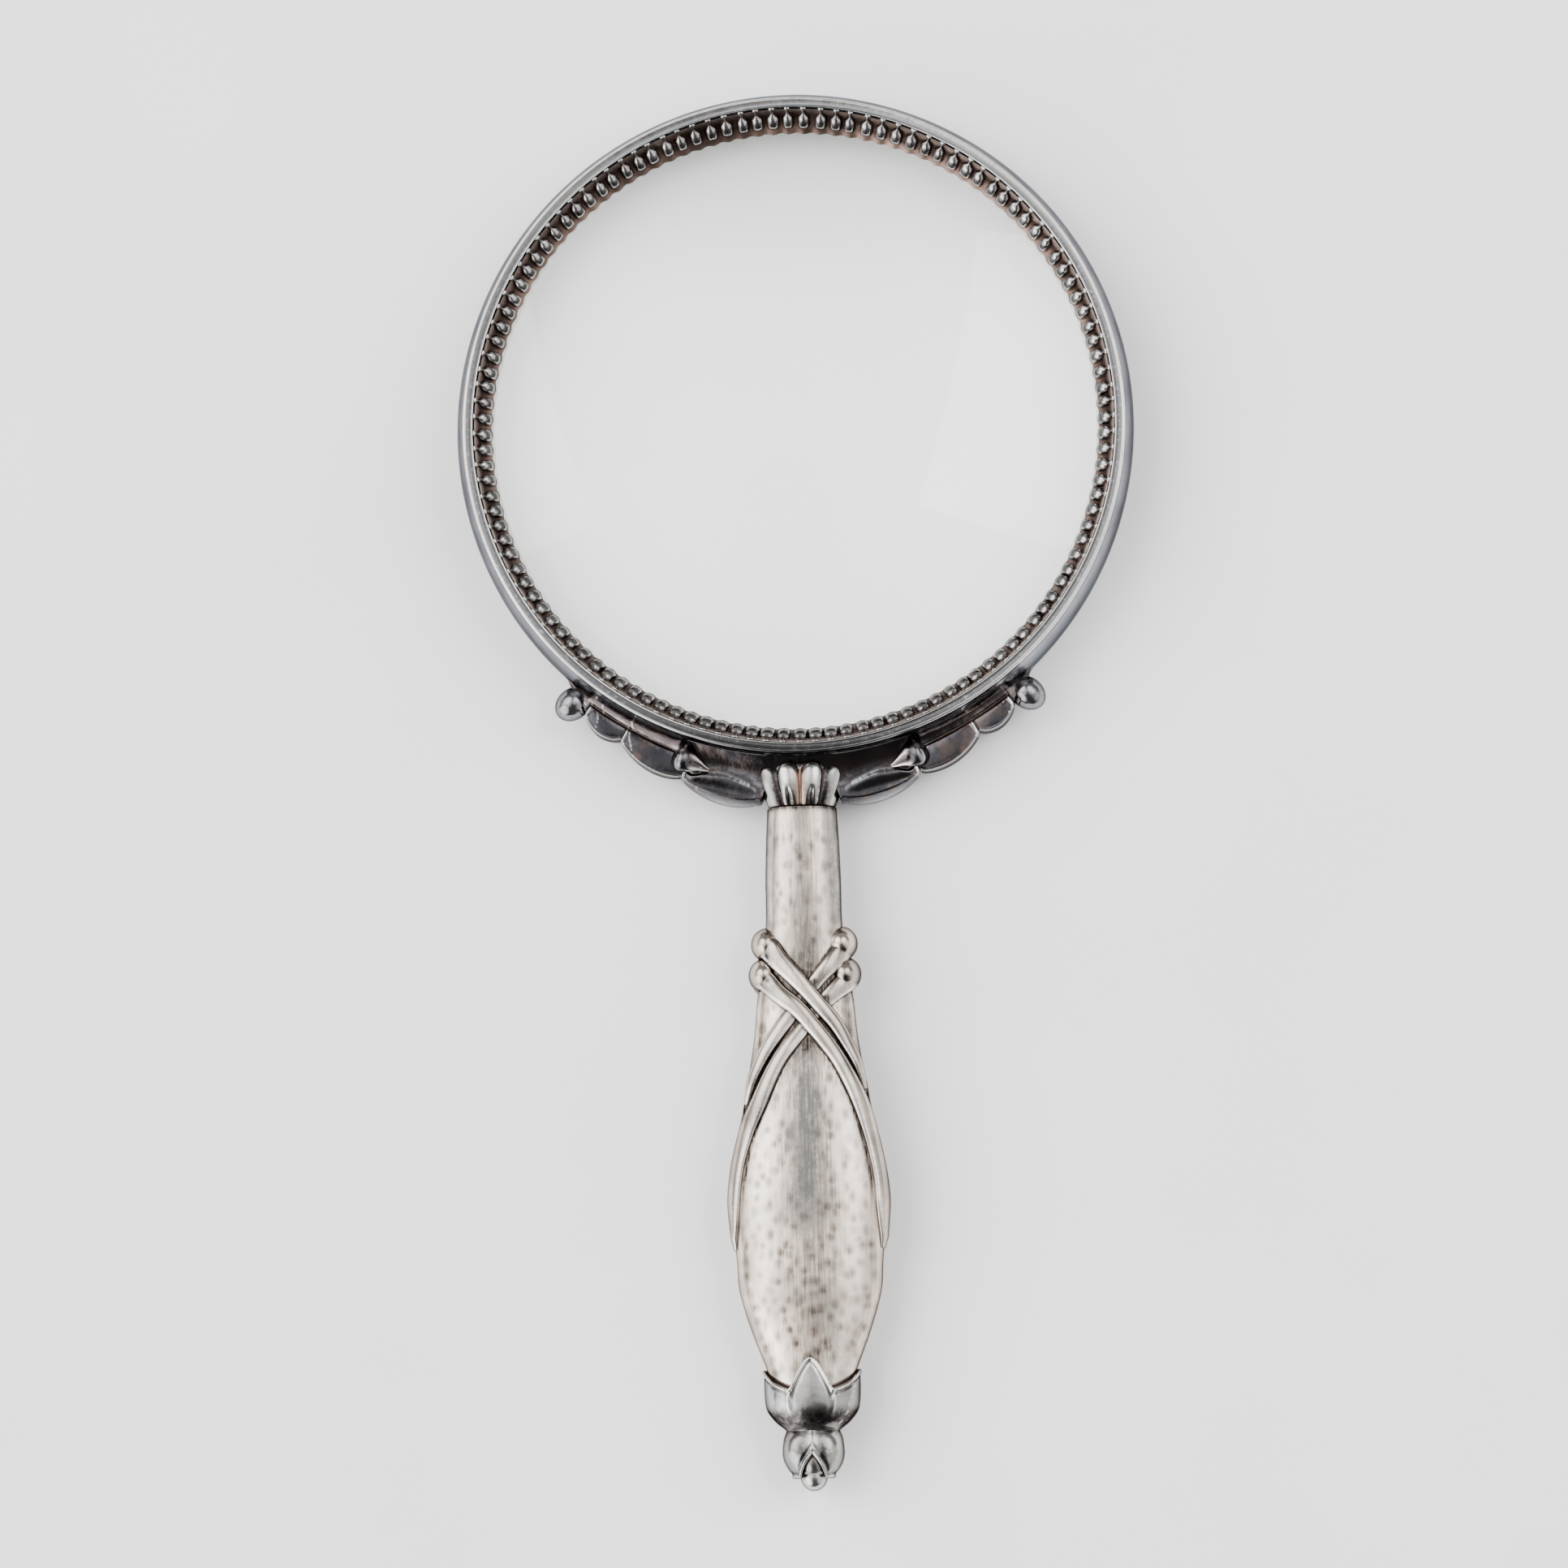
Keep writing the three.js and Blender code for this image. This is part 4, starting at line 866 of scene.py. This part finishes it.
def on_handle(position):
    """Drops points onto the handle's oval and gives the outward directions there."""
    x, y, z = position[..., 0], position[..., 1], np.maximum(position[..., 2], 0)
    half = HANDLE_POWER / 2
    scale = np.hypot((np.abs(x) / HANDLE(y, 1)) ** half, (z / HANDLE(y, 2)) ** half) ** (1 / half)
    x, z = x / scale, z / scale
    return np.stack([x, y, z], -1), handle_normal(x, y, z)


def strap_distances(x, y):
    """Distances from (x, y) to each strap's edge by its key, negative under the strap."""
    distances = {}
    for key, route in ROUTES.items():
        near = np.full(x.shape, 99.0)
        for px, py, width in soft_curve(route, 8):
            near = np.minimum(near, np.hypot(x - px, y - py) - width / 2)
        distances[key] = near
    return distances


def between(distances, word):
    """Width of the gap between the two straps of a pair."""
    return distances[f"upper_{word}"] + distances[f"lower_{word}"]


def dimples(x, y, spots):
    """Depth share of oval hammer marks, with each as (x, y, half width, half length, depth)."""
    depth = np.zeros(x.shape)
    for sx, sy, wide, long, amount in spots:
        rows = np.abs(y[:, 0] - sy) < 3 * long
        block = np.exp(-(np.hypot((x[rows] - sx) / wide, (y[rows] - sy) / long) ** 2.5))
        depth[rows] = np.maximum(depth[rows], amount * block)
    return depth


def patches(x, y, spots):
    """One array for each soft oval patch."""
    return [
        amount * bell(np.hypot((x - sx) / wide, (y - sy) / long), 1) for sx, sy, wide, long, amount in spots
    ]


def spots_at(x, y, spots, edge=4):
    """Share of round dark marks. A higher edge is crisper."""
    return sum(np.exp(-(np.hypot(x - sx, y - sy) / radius) ** edge) for sx, sy, radius in spots)


MARK_PITCH = (2.0, 2.7)
MARK_DEPTH = 0.03
RIPPLE = 0.012


def hammer_marks(draw):
    """Staggered rows of oval marks, with gaps and jitter, wider on the panel than on the neck."""
    marks = []
    pitch_x, pitch_y = MARK_PITCH
    for row, y in enumerate(np.arange(-7.5, -87.0, -pitch_y / 2), start=1):
        reach = HANDLE(y, 1) * 0.93
        chance = 0.8 if y > -28 or y < -50 else 0.62
        for x in np.arange(-12 + (row % 2) * pitch_x / 2, 12, pitch_x):
            jx, jy = draw.uniform(-0.7, 0.7), draw.uniform(-0.8, 0.8)
            if abs(x + jx) > reach or draw.random() > chance:
                continue
            size = draw.uniform(0.34, 0.6) * (1.3 if y < -50 else 1), draw.uniform(0.6, 1.05)
            marks.append((x + jx, y + jy, *size, draw.uniform(0.5, 1.0)))
    return marks


def brushed_and_reflected_grey(x, y):
    """Where the handle is grey, partly brushed and partly a painted dark reflection: patches, the neck and
    the strips along its sides.
    """
    side = x / HANDLE(y, 1)
    strips = smooth(side, 0.68, 0.8) + smooth(-side, 0.86, 0.93)
    stripe = 0.45 * smooth(x, 2.4, 3.6) * (1 - smooth(x, 4.2, 5)) * smooth(y, -24, -10)
    grey = sum(patches(x, y, BRUSHED_AND_REFLECTED_PATCHES)) + stripe + (0.6 * strips + 0.36) * smooth(y, -23.5, -20)
    return np.clip(0.9 * grey, 0, 1)


def handle_soot(x, y, angle):
    """Distance to the nearest strap, and the painted shade beside the straps, between them, above the tulip
    and at the collar.
    """
    apart = strap_distances(x, y)
    near = np.minimum.reduce(list(apart.values()))
    slot = np.minimum(between(apart, "over"), between(apart, "under"))
    panel = smooth(-y, 37.5, 40) * (1 - smooth(-y, 84, 86))
    joint = 1 - smooth(-y, 38, 42)
    above_rim = y - tulip_rim(np.broadcast_to(angle, x.shape))
    return near, np.maximum.reduce([
        np.clip(1.15 * bell(near, 0.3) * smooth(-y, 22, 25) * (1 - smooth(-y, 56, 65)), 0, 1),
        *patches(x, y, SHADED_PATCHES),
        0.5 * bell(near, 1.1) * panel * (1 - smooth(-y, 46, 56)),
        0.42 * bell(near, 1.3) * smooth(-y, 25, 27) * (1 - smooth(-y, 40, 46)),
        0.3 * (1 - smooth(above_rim, 0.1, 1.2)) * smooth(-y, 80, 82),
        bell(y - HANDLE_TOP, 0.6),
        1.5 * (1 - smooth(slot, 0.9 + 0.8 * joint, 1.9 + 0.9 * joint)) * smooth(-y, 22, 24),
    ])


def handle_shell(face, word, draw):
    """One stamped half of the handle, with hammer marks, brushed patches mixed with painted dark
    reflections, painted shade in its corners and painted highlights down its sides.
    """
    angle = np.linspace(0, math.pi, 121)[None, :]
    y = np.linspace(HANDLE_TOP, HANDLE_END, 520)[:, None]
    outer = oval(y, HANDLE(y, 1), HANDLE(y, 2), angle, HANDLE_POWER)
    inner = oval(y, HANDLE(y, 1) - SHELL, HANDLE(y, 2) - SHELL, angle, HANDLE_POWER)[:, ::-1]
    inner[..., 2] = np.maximum(inner[..., 2], 0)
    x, y, z = np.moveaxis(outer, -1, 0)
    flat = smooth(z / HANDLE(y, 2), 0.25, 0.6)
    near, soot = handle_soot(x, y, angle)
    marks = dimples(x, y, hammer_marks(draw)) * flat * (1 - bell(near, 0.5))
    ripple = np.sin(y * 1.3 + 1.3 * np.sin(x)) * np.sin(x * 1.5 + 0.8 * np.sin(y * 0.7)) * flat
    points = outer + handle_normal(x, y, z) * (RIPPLE * ripple - MARK_DEPTH * marks)[..., None]
    points = (np.concatenate([points, inner], axis=1) + (0, 0, SEAM)) * (face, 1, face)
    # Painted highlights down both sides, kept off the shade and the marks.
    bright = 0.6 * bell(np.abs(x) / HANDLE(y, 1) - 0.62, 0.18) * (1 - soot) * (1 - 0.7 * marks)
    bright = np.clip(bright, 0, 1)
    values = {"dent": 0.95 * marks, "blue": brushed_and_reflected_grey(x, y), "soot": soot, "bright": bright}
    values = {key: np.concatenate([value, 0 * value], axis=1) for key, value in values.items()}
    add_piece(f"handle_{word}", handle_silver, f"handle_{word}_shell", points, sharp=60, **values)


def strap(key, route, face, word):
    """A half-round band laid on the handle. Over straps arch over the under straps where they cross.
    Painted shade lies at its foot, where over straps cross it and along its upper edge, with tarnish spots,
    punch marks and a painted highlight along its lower edge.
    """
    over = key.endswith("over")
    path = soft_curve(route, 14)
    ahead = np.gradient(path, axis=0)
    x, y, width = path.T
    start = np.stack([x, y, handle_height(x, y)], -1)
    normal = on_handle(start)[1]
    along = np.stack([ahead[:, 0], ahead[:, 1], 0 * x], -1)
    along -= np.sum(along * normal, -1, keepdims=True) * normal
    along /= np.linalg.norm(along, axis=-1, keepdims=True)
    crossing = smooth(CROSSING_REACH - np.hypot(x - CROSSING[0], y - CROSSING[1]), -2.6, 3.4)
    taper = np.minimum(1, width / 1.6) * (1 - 0.42 * smooth(-y, 43, 54))
    high = STRAP_HEIGHT * taper + (CROSSING_LIFT if over else -CROSSING_THINNING) * crossing

    sweep = np.linspace(0, math.pi, 19)
    side = np.concatenate([np.cos(sweep), np.linspace(-0.9, 0.9, 5)])
    crown = np.concatenate([np.sin(sweep) ** 0.5, np.zeros(5)])
    offset = (width[:, None] / 2 + STRAP_MARGIN) * side[None, :]
    height = STRAP_FOOT + (high - STRAP_FOOT)[:, None] * crown[None, :]
    place, up = (np.repeat(v[:, None, :], len(side), axis=1) for v in (start, normal))
    for _ in range(WRAP_STEPS):
        across = np.cross(up, along[:, None, :])
        across /= np.linalg.norm(across, axis=-1, keepdims=True)
        place, up = on_handle(place + across * (offset / WRAP_STEPS)[..., None])
    points = place + up * height[..., None] + (0, 0, SEAM)

    # Painted shade at the strap's foot and, on under straps, where the over straps cross them; tarnish
    # spots and punch marks are mixed in.
    foot = (1 - smooth(crown, 0.0, 0.5))[None, :] * (1 - smooth(-y, 52, 64))[:, None]
    seen_x, seen_y = points[..., 0], points[..., 1]
    overlap = np.zeros(offset.shape)
    if not over:
        apart = strap_distances(seen_x, seen_y)
        overlap = 1 - smooth(between(apart, "over"), 1.2, 2.4)
        above = np.minimum(apart["upper_over"], apart["lower_over"])
        overlap = np.maximum(overlap, 0.9 * bell(above, 0.3))
    dark = 0.85 * foot + overlap + 0.3 * spots_at(seen_x, seen_y, TARNISH_SPOTS, 2)
    dark = np.clip(dark + spots_at(seen_x, seen_y, PUNCH_SPOTS), 0, 1)
    # Painted shade along the upper edge.
    lower_side = side[None, :] * (1 if over else -1)
    dark = np.maximum(dark, 0.6 * bell(lower_side - 1, 0.14))
    # Painted highlight along the lower edge, ragged.
    ragged = 0.7 + 0.3 * np.sin(7 * y + 3 * np.sin(4.3 * x))
    lit = 1.2 * bell(lower_side + 0.74, 0.16) * (ragged * smooth(-y, 23.5, 25))[:, None]
    lit = np.clip(lit, 0, 1) * (1 - overlap) * (1 - 0.6 * smooth(-y, 44, 52))[:, None]
    points = points * (face, 1, face)
    add_piece(f"{word}_{key}_band", strap_silver, f"{word}_{key}_strap", points, soot=dark, lit=lit)


KNOTS = {"upper": (-23.4, 5.49), "lower": (-27.9, 5.94)}
KNOT_RADII = (2.35, 2.5, 3.7)


def knot(side, level, word):
    """A knuckle where a strap turns round the handle's side."""
    y, reach = KNOTS[level]
    points = ball((side * reach, y, 0), KNOT_RADII, 40, 48)
    seen_x = points[..., 0] * np.sign(points[..., 2])
    soot = np.clip(spots_at(seen_x, points[..., 1], PUNCH_SPOTS), 0, 1)
    add_piece(f"{word}_{level}_ball", strap_silver, f"{word}_{level}_knot", points, soot=soot)


# ---------- tulip cup, bud and tip ----------
CUP = Table([
    (-83.6, 7.5, 5.55), (-85.6, 7.05, 5.5), (-88, 7.05, 5.5), (-90, 6.95, 5.4), (-91.5, 6.6, 5.1),
    (-93, 5.45, 4.4), (-94.1, 4.1, 3.5), (-94.6, 3.7, 3.2),
])
CUP_POWER = 2.1
CUP_SHELF = -90.4
FINIAL = Table([
    (-94.0, 3.8, 3.2), (-94.4, 4.0, 3.4), (-95.6, 4.5, 3.9), (-97.2, 4.7, 4.1), (-98.6, 4.4, 3.9),
    (-99.8, 3.75, 3.4), (-101.1, 2.9, 2.75),
])
FINIAL_TOP = -94.1
FINIAL_POWER = 2.05
# Middle and radii.
FINIAL_CORE = ((0, -98.5, 0), (2.5, 2.95, 3.2))
TIP_BEAD = ((0, -100.8, 0), (2.0, 2.2, 2.15))


def turned(table, y, extra, angle, power):
    """Points round a table's oval, moved outwards by extra."""
    return oval(y, table(y, 1) + extra, table(y, 2) + extra, angle, power)


def rim_distance(y, rim, radius):
    """Distance from a wavy rim, measured square to it."""
    slope = np.gradient(rim[0], TAU / rim.size * radius)
    return np.abs(y - rim) / np.sqrt(1 + slope**2)


def tulip_rim(angle):
    """Height y of the petals' rim round the cup."""
    front, side = np.abs(np.sin(angle)), np.abs(np.cos(angle))
    front_petal = -83.7 - 4.7 * np.minimum(1, side / 0.44) ** 1.5
    side_petal = -85.5 - 2.8 * np.minimum(1, front / 0.88) ** 1.3
    return np.maximum(front_petal, side_petal)


def tulip():
    """Four petals with raised rims round the end of the handle, with painted highlights on the rims and
    painted shade inside them, on the side petals and towards the foot.
    """
    angle = full_turn(288)[None, :]
    rim = tulip_rim(angle)
    depth = np.concatenate([np.linspace(0, 0.12, 7), np.linspace(0.15, 1, 22)])[:, None]
    lower = np.linspace(CUP_SHELF - 0.25, -94.5, 20)[:, None] + 0 * angle
    y = np.vstack([rim + (CUP_SHELF - rim) * depth, lower])
    x = np.abs(CUP(y, 1) * np.cos(angle))
    seam = 3.3 - 0.35 * smooth(-y, 90, 92.5) - 1.8 * smooth(-y, 91.8, 94.5)
    front_face = np.abs(np.sin(angle)) > 0.45
    crease = np.where((y < -87.6) & front_face, x - seam, 9)
    distance = rim_distance(y, rim, 6.5)
    ridge = bell(distance - 0.2, 0.2) + 0.6 * bell(crease, 0.24) * (1 - smooth(-y, 90.5, 92.5))
    inside = bell(distance - 0.62, 0.22) + 0.5 * bell(crease + 0.6, 0.35) * (1 - smooth(-y, 90, 92))
    outer = turned(CUP, y, 0.16 * ridge - 0.15 * inside, angle, CUP_POWER)
    lip = turned(CUP, rim + 0.12, -0.16, angle, CUP_POWER)
    steps_in = np.array([(2.6, -0.3), (1.2, -0.2), (0.7, -0.12), (0.4, 0.02)])
    back = turned(CUP, rim + steps_in[:, 1:], -steps_in[:, :1], angle, CUP_POWER)
    pad = np.zeros((len(back) + len(lip), angle.size))
    # Painted shade towards the foot, inside the rims and on the side petals.
    soot_low = smooth(-y, 90.2, 92.2) * (1 - 0.75 * smooth(-y, 93.0, 94.4))
    soot = np.clip(0.9 * soot_low + 0.6 * inside + 0.28 * ~front_face, 0, 1)
    add_piece(
        "tulip", chased_silver, "tulip_cup", np.vstack([back, lip, outer]),
        soot=np.vstack([pad + 0.15, soot]),
        bright=np.vstack([pad, np.clip(ridge * 1.1, 0, 1)]),
        copper=np.vstack([pad + 0.45, 0 * soot]),
    )


def finial():
    """A fluted bud, open at its end in two rimmed arches, over a round core. It has a darker tone, with
    painted shade on its cheeks, inside its rims, at its neck and in the tuck, and painted highlights on the
    rims and middle lines.
    """
    angle = full_turn(240)[None, :]
    rim = -101.15 + 3.5 * np.maximum(0, 1 - np.abs(np.cos(angle)) / 0.62) ** 1.1
    y = FINIAL_TOP + (rim - FINIAL_TOP) * np.linspace(0, 1, 44)[:, None]
    distance = rim_distance(y, rim, 4.2)
    ridge = bell(distance - 0.22, 0.2)
    inside = bell(distance - 0.7, 0.3)
    middle = bell((angle % math.pi) - math.pi / 2, 0.11) * smooth(y, -97.8, -96.9)
    flutes = 0.18 * np.cos(4 * angle) * bell(y + 96.6, 1.6)
    outer = turned(FINIAL, y, 0.22 * ridge - 0.12 * inside + 0.14 * middle - flutes, angle, FINIAL_POWER)
    tuck = turned(FINIAL, rim + 0.5, -0.75, angle, FINIAL_POWER)
    # Painted shade on the cheeks, inside the rims and at the neck, over a darker tone.
    cheek = bell(np.abs(np.cos(angle)) - 0.34, 0.13) * bell(y + 97.0, 1.3)
    soot = np.clip(0.25 + 0.5 * inside + 0.45 * bell(y + 94.3, 0.5) + 0.75 * cheek, 0, 1)
    # Painted highlights on the rims and the middle lines.
    bright = np.clip(0.5 * ridge + 0.3 * middle, 0, 1)
    add_piece(
        "finial", chased_silver, "finial_bud", np.vstack([outer, tuck]),
        soot=np.vstack([soot, 0 * angle + 0.8]), bright=np.vstack([bright, 0 * angle]),
    )
    core = ball(*FINIAL_CORE, 20, 28)
    add_piece("finial_core", chased_silver, "finial_bud", core, soot=0.3, copper=0.1)


def tip():
    """The round bead at the very end, with painted shade on the half that sits under the bud."""
    points = ball(*TIP_BEAD, 40, 48)
    soot = 0.7 * smooth(points[..., 1], -101.2, -100.0)
    add_piece("tip", chased_silver, "tip_bead", points, soot=soot)


FACES = ((1, "front"), (-1, "back"))
GALLERIES = ((1, "front"), (-1, "rear"))
SIDES = ((1, "right"), (-1, "left"))

ring_band()
for facing, facing_word in GALLERIES:
    gallery_seat(facing, facing_word)
    pearls(facing, facing_word)
lens()
for side_sign, side_word in SIDES:
    bracket(side_sign, side_word)
    berry(side_sign, side_word)
    for facing, facing_word in FACES:
        scroll_bud(side_sign, facing, f"{facing_word}_{side_word}")
    for knot_level in KNOTS:
        knot(side_sign, knot_level, side_word)
collar()
for facing, facing_word in FACES:
    handle_shell(facing, facing_word, rng)
    for route_key, route_points in ROUTES.items():
        strap(route_key, route_points, facing, facing_word)
tulip()
finial()
tip()


# ---------- hidden parts keep their CAD shape and get a finish of their own ----------
def plain_finish(name, low, high, rough, metallic):
    """A grained finish between two colours."""
    n = Finish(name)
    grain = n.noise(1.8, 4.0, roughness=0.6)
    colour = n.mix(n.ramp(grain, 0.3, 0.7), low, high)
    roughness = n.ramp(grain, 0.3, 0.7, rough * 0.8, rough)
    return n.finish(colour, roughness, n.bump(grain, 0.3, 0.05), metallic=metallic)


HIDDEN = {
    "lens_packing": plain_finish("cork_packing", (0.20, 0.12, 0.07), (0.34, 0.22, 0.13), 0.9, 0.0),
    "handle_filler": plain_finish("pitch_filler", (0.03, 0.024, 0.02), (0.07, 0.055, 0.045), 0.7, 0.0),
    "tang": plain_finish("tang_brass", (0.55, 0.40, 0.18), (0.70, 0.54, 0.27), 0.35, 1.0),
}
for node_name, finish in HIDDEN.items():
    for material_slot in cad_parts[node_name].material_slots:
        material_slot.material = finish


# ---------- floor, light and camera ----------
FLOOR_REACH = 3.0
ROOM_HORIZON = 0.42
ROOM_TOP = 0.32
ROOM_DIM = 0.35
# What the metal mirrors, as (direction, outer and inner angle in degrees, strength).
SOFT_LIGHTS = (
    ((-0.62, 0.12, 0.78), 46, 22, 1.7),
    ((0.44, 0.14, 0.9), 32, 12, 1.25),
    ((-0.57, 0.34, 0.75), 31, 12, 2.6),
    ((0.47, 0.39, 0.79), 28, 10, 2.6),
    ((-0.75, -0.6, 0.36), 38, 12, 4.4),
    ((0.85, -0.3, 0.35), 42, 14, 1.2),
)
# What lights the floor, as (name, position, watts).
SOFTBOXES = (("left_softbox", (-0.95, 0.25, 0.95), 19.0), ("right_softbox", (1.0, 0.3, 0.9), 17.0))
SOFTBOX_SIZE = (0.8, 1.3)
LENS_LENGTH = 155.54
CAMERA_TURNS = ((1.39, "Z"), (-3.10, "Y"), (-6.46, "X"))
RING_FROM_CAMERA = Vector((1.61, 52.42, -1000))


def floor():
    """A pale sheet that the magnifying glass lies on."""
    mesh = bpy.data.meshes.new("floor")
    corners = [(-1, -1), (1, -1), (1, 1), (-1, 1)]
    mesh.from_pydata([(x * FLOOR_REACH, y * FLOOR_REACH, 0) for x, y in corners], [], [(0, 1, 2, 3)])
    n = Finish("paper")
    grain = n.noise(0.02, 3.0)
    colour = n.mix(n.ramp(grain, 0.3, 0.7), (0.80, 0.80, 0.805), (0.77, 0.77, 0.775))
    mesh.materials.append(n.finish(colour, 0.75, metallic=0.0, Specular_IOR_Level=0.2))
    place("floor", mesh)


def softbox(name, position, watts):
    """A wide lamp that points at the middle and isn't mirrored in the metal."""
    light = bpy.data.lights.new(name, "AREA")
    light.shape = "RECTANGLE"
    light.size, light.size_y = SOFTBOX_SIZE
    light.energy = watts
    lamp = place(name, light)
    lamp.location = position
    lamp.visible_glossy = False
    lamp.rotation_mode = "QUATERNION"
    lamp.rotation_quaternion = (-Vector(position)).to_track_quat("-Z", "Y")


def surroundings():
    """A soft pale room, dimmer behind the handle's end, with wide soft lights above and beside."""
    world = bpy.data.worlds.new("room")
    bpy.context.scene.world = world
    n = Nodes(world, "ShaderNodeOutputWorld")
    direction = n.add("ShaderNodeTexCoord").outputs["Generated"]
    split = n.add("ShaderNodeSeparateXYZ")
    n.link(direction, split.inputs[0])
    height = n.ramp(split.outputs["Z"], 0.0, 1.0, ROOM_HORIZON, ROOM_TOP, "LINEAR")
    total = n.math("MULTIPLY", height, n.ramp(split.outputs["Y"], -0.8, 0.1, ROOM_DIM, 1.0))
    for toward, wide, tight, strength in SOFT_LIGHTS:
        near = n.add("ShaderNodeVectorMath", operation="DOT_PRODUCT")
        n.link(direction, near.inputs[0])
        n.link(tuple(Vector(toward).normalized()), near.inputs[1])
        edges = math.cos(wide * DEGREE), math.cos(tight * DEGREE)
        total = n.math("ADD", total, n.ramp(near.outputs["Value"], *edges, 0.0, strength))
    background = n.add("ShaderNodeBackground")
    n.feed(background, Color=(1.0, 1.0, 1.0, 1.0), Strength=total)
    n.feed(n.output, Surface=background.outputs[0])


def camera():
    """A long lens one metre above, leaning back a little over the handle."""
    data = bpy.data.cameras.new("camera")
    data.sensor_width = 36
    data.lens = LENS_LENGTH
    data.clip_start, data.clip_end = 0.05, 20
    item = place("camera", data)
    turn = Matrix.Identity(3)
    for degrees, axis in CAMERA_TURNS:
        turn = turn @ Matrix.Rotation(degrees * DEGREE, 3, axis)
    centre = Vector((0, RING_Y, HALF_DEPTH))
    item.matrix_world = turn.transposed().to_4x4()
    item.location = (centre - turn.transposed() @ RING_FROM_CAMERA) * METRE
    bpy.context.scene.camera = item


floor()
surroundings()
for lamp_name, lamp_position, lamp_watts in SOFTBOXES:
    softbox(lamp_name, lamp_position, lamp_watts)
camera()
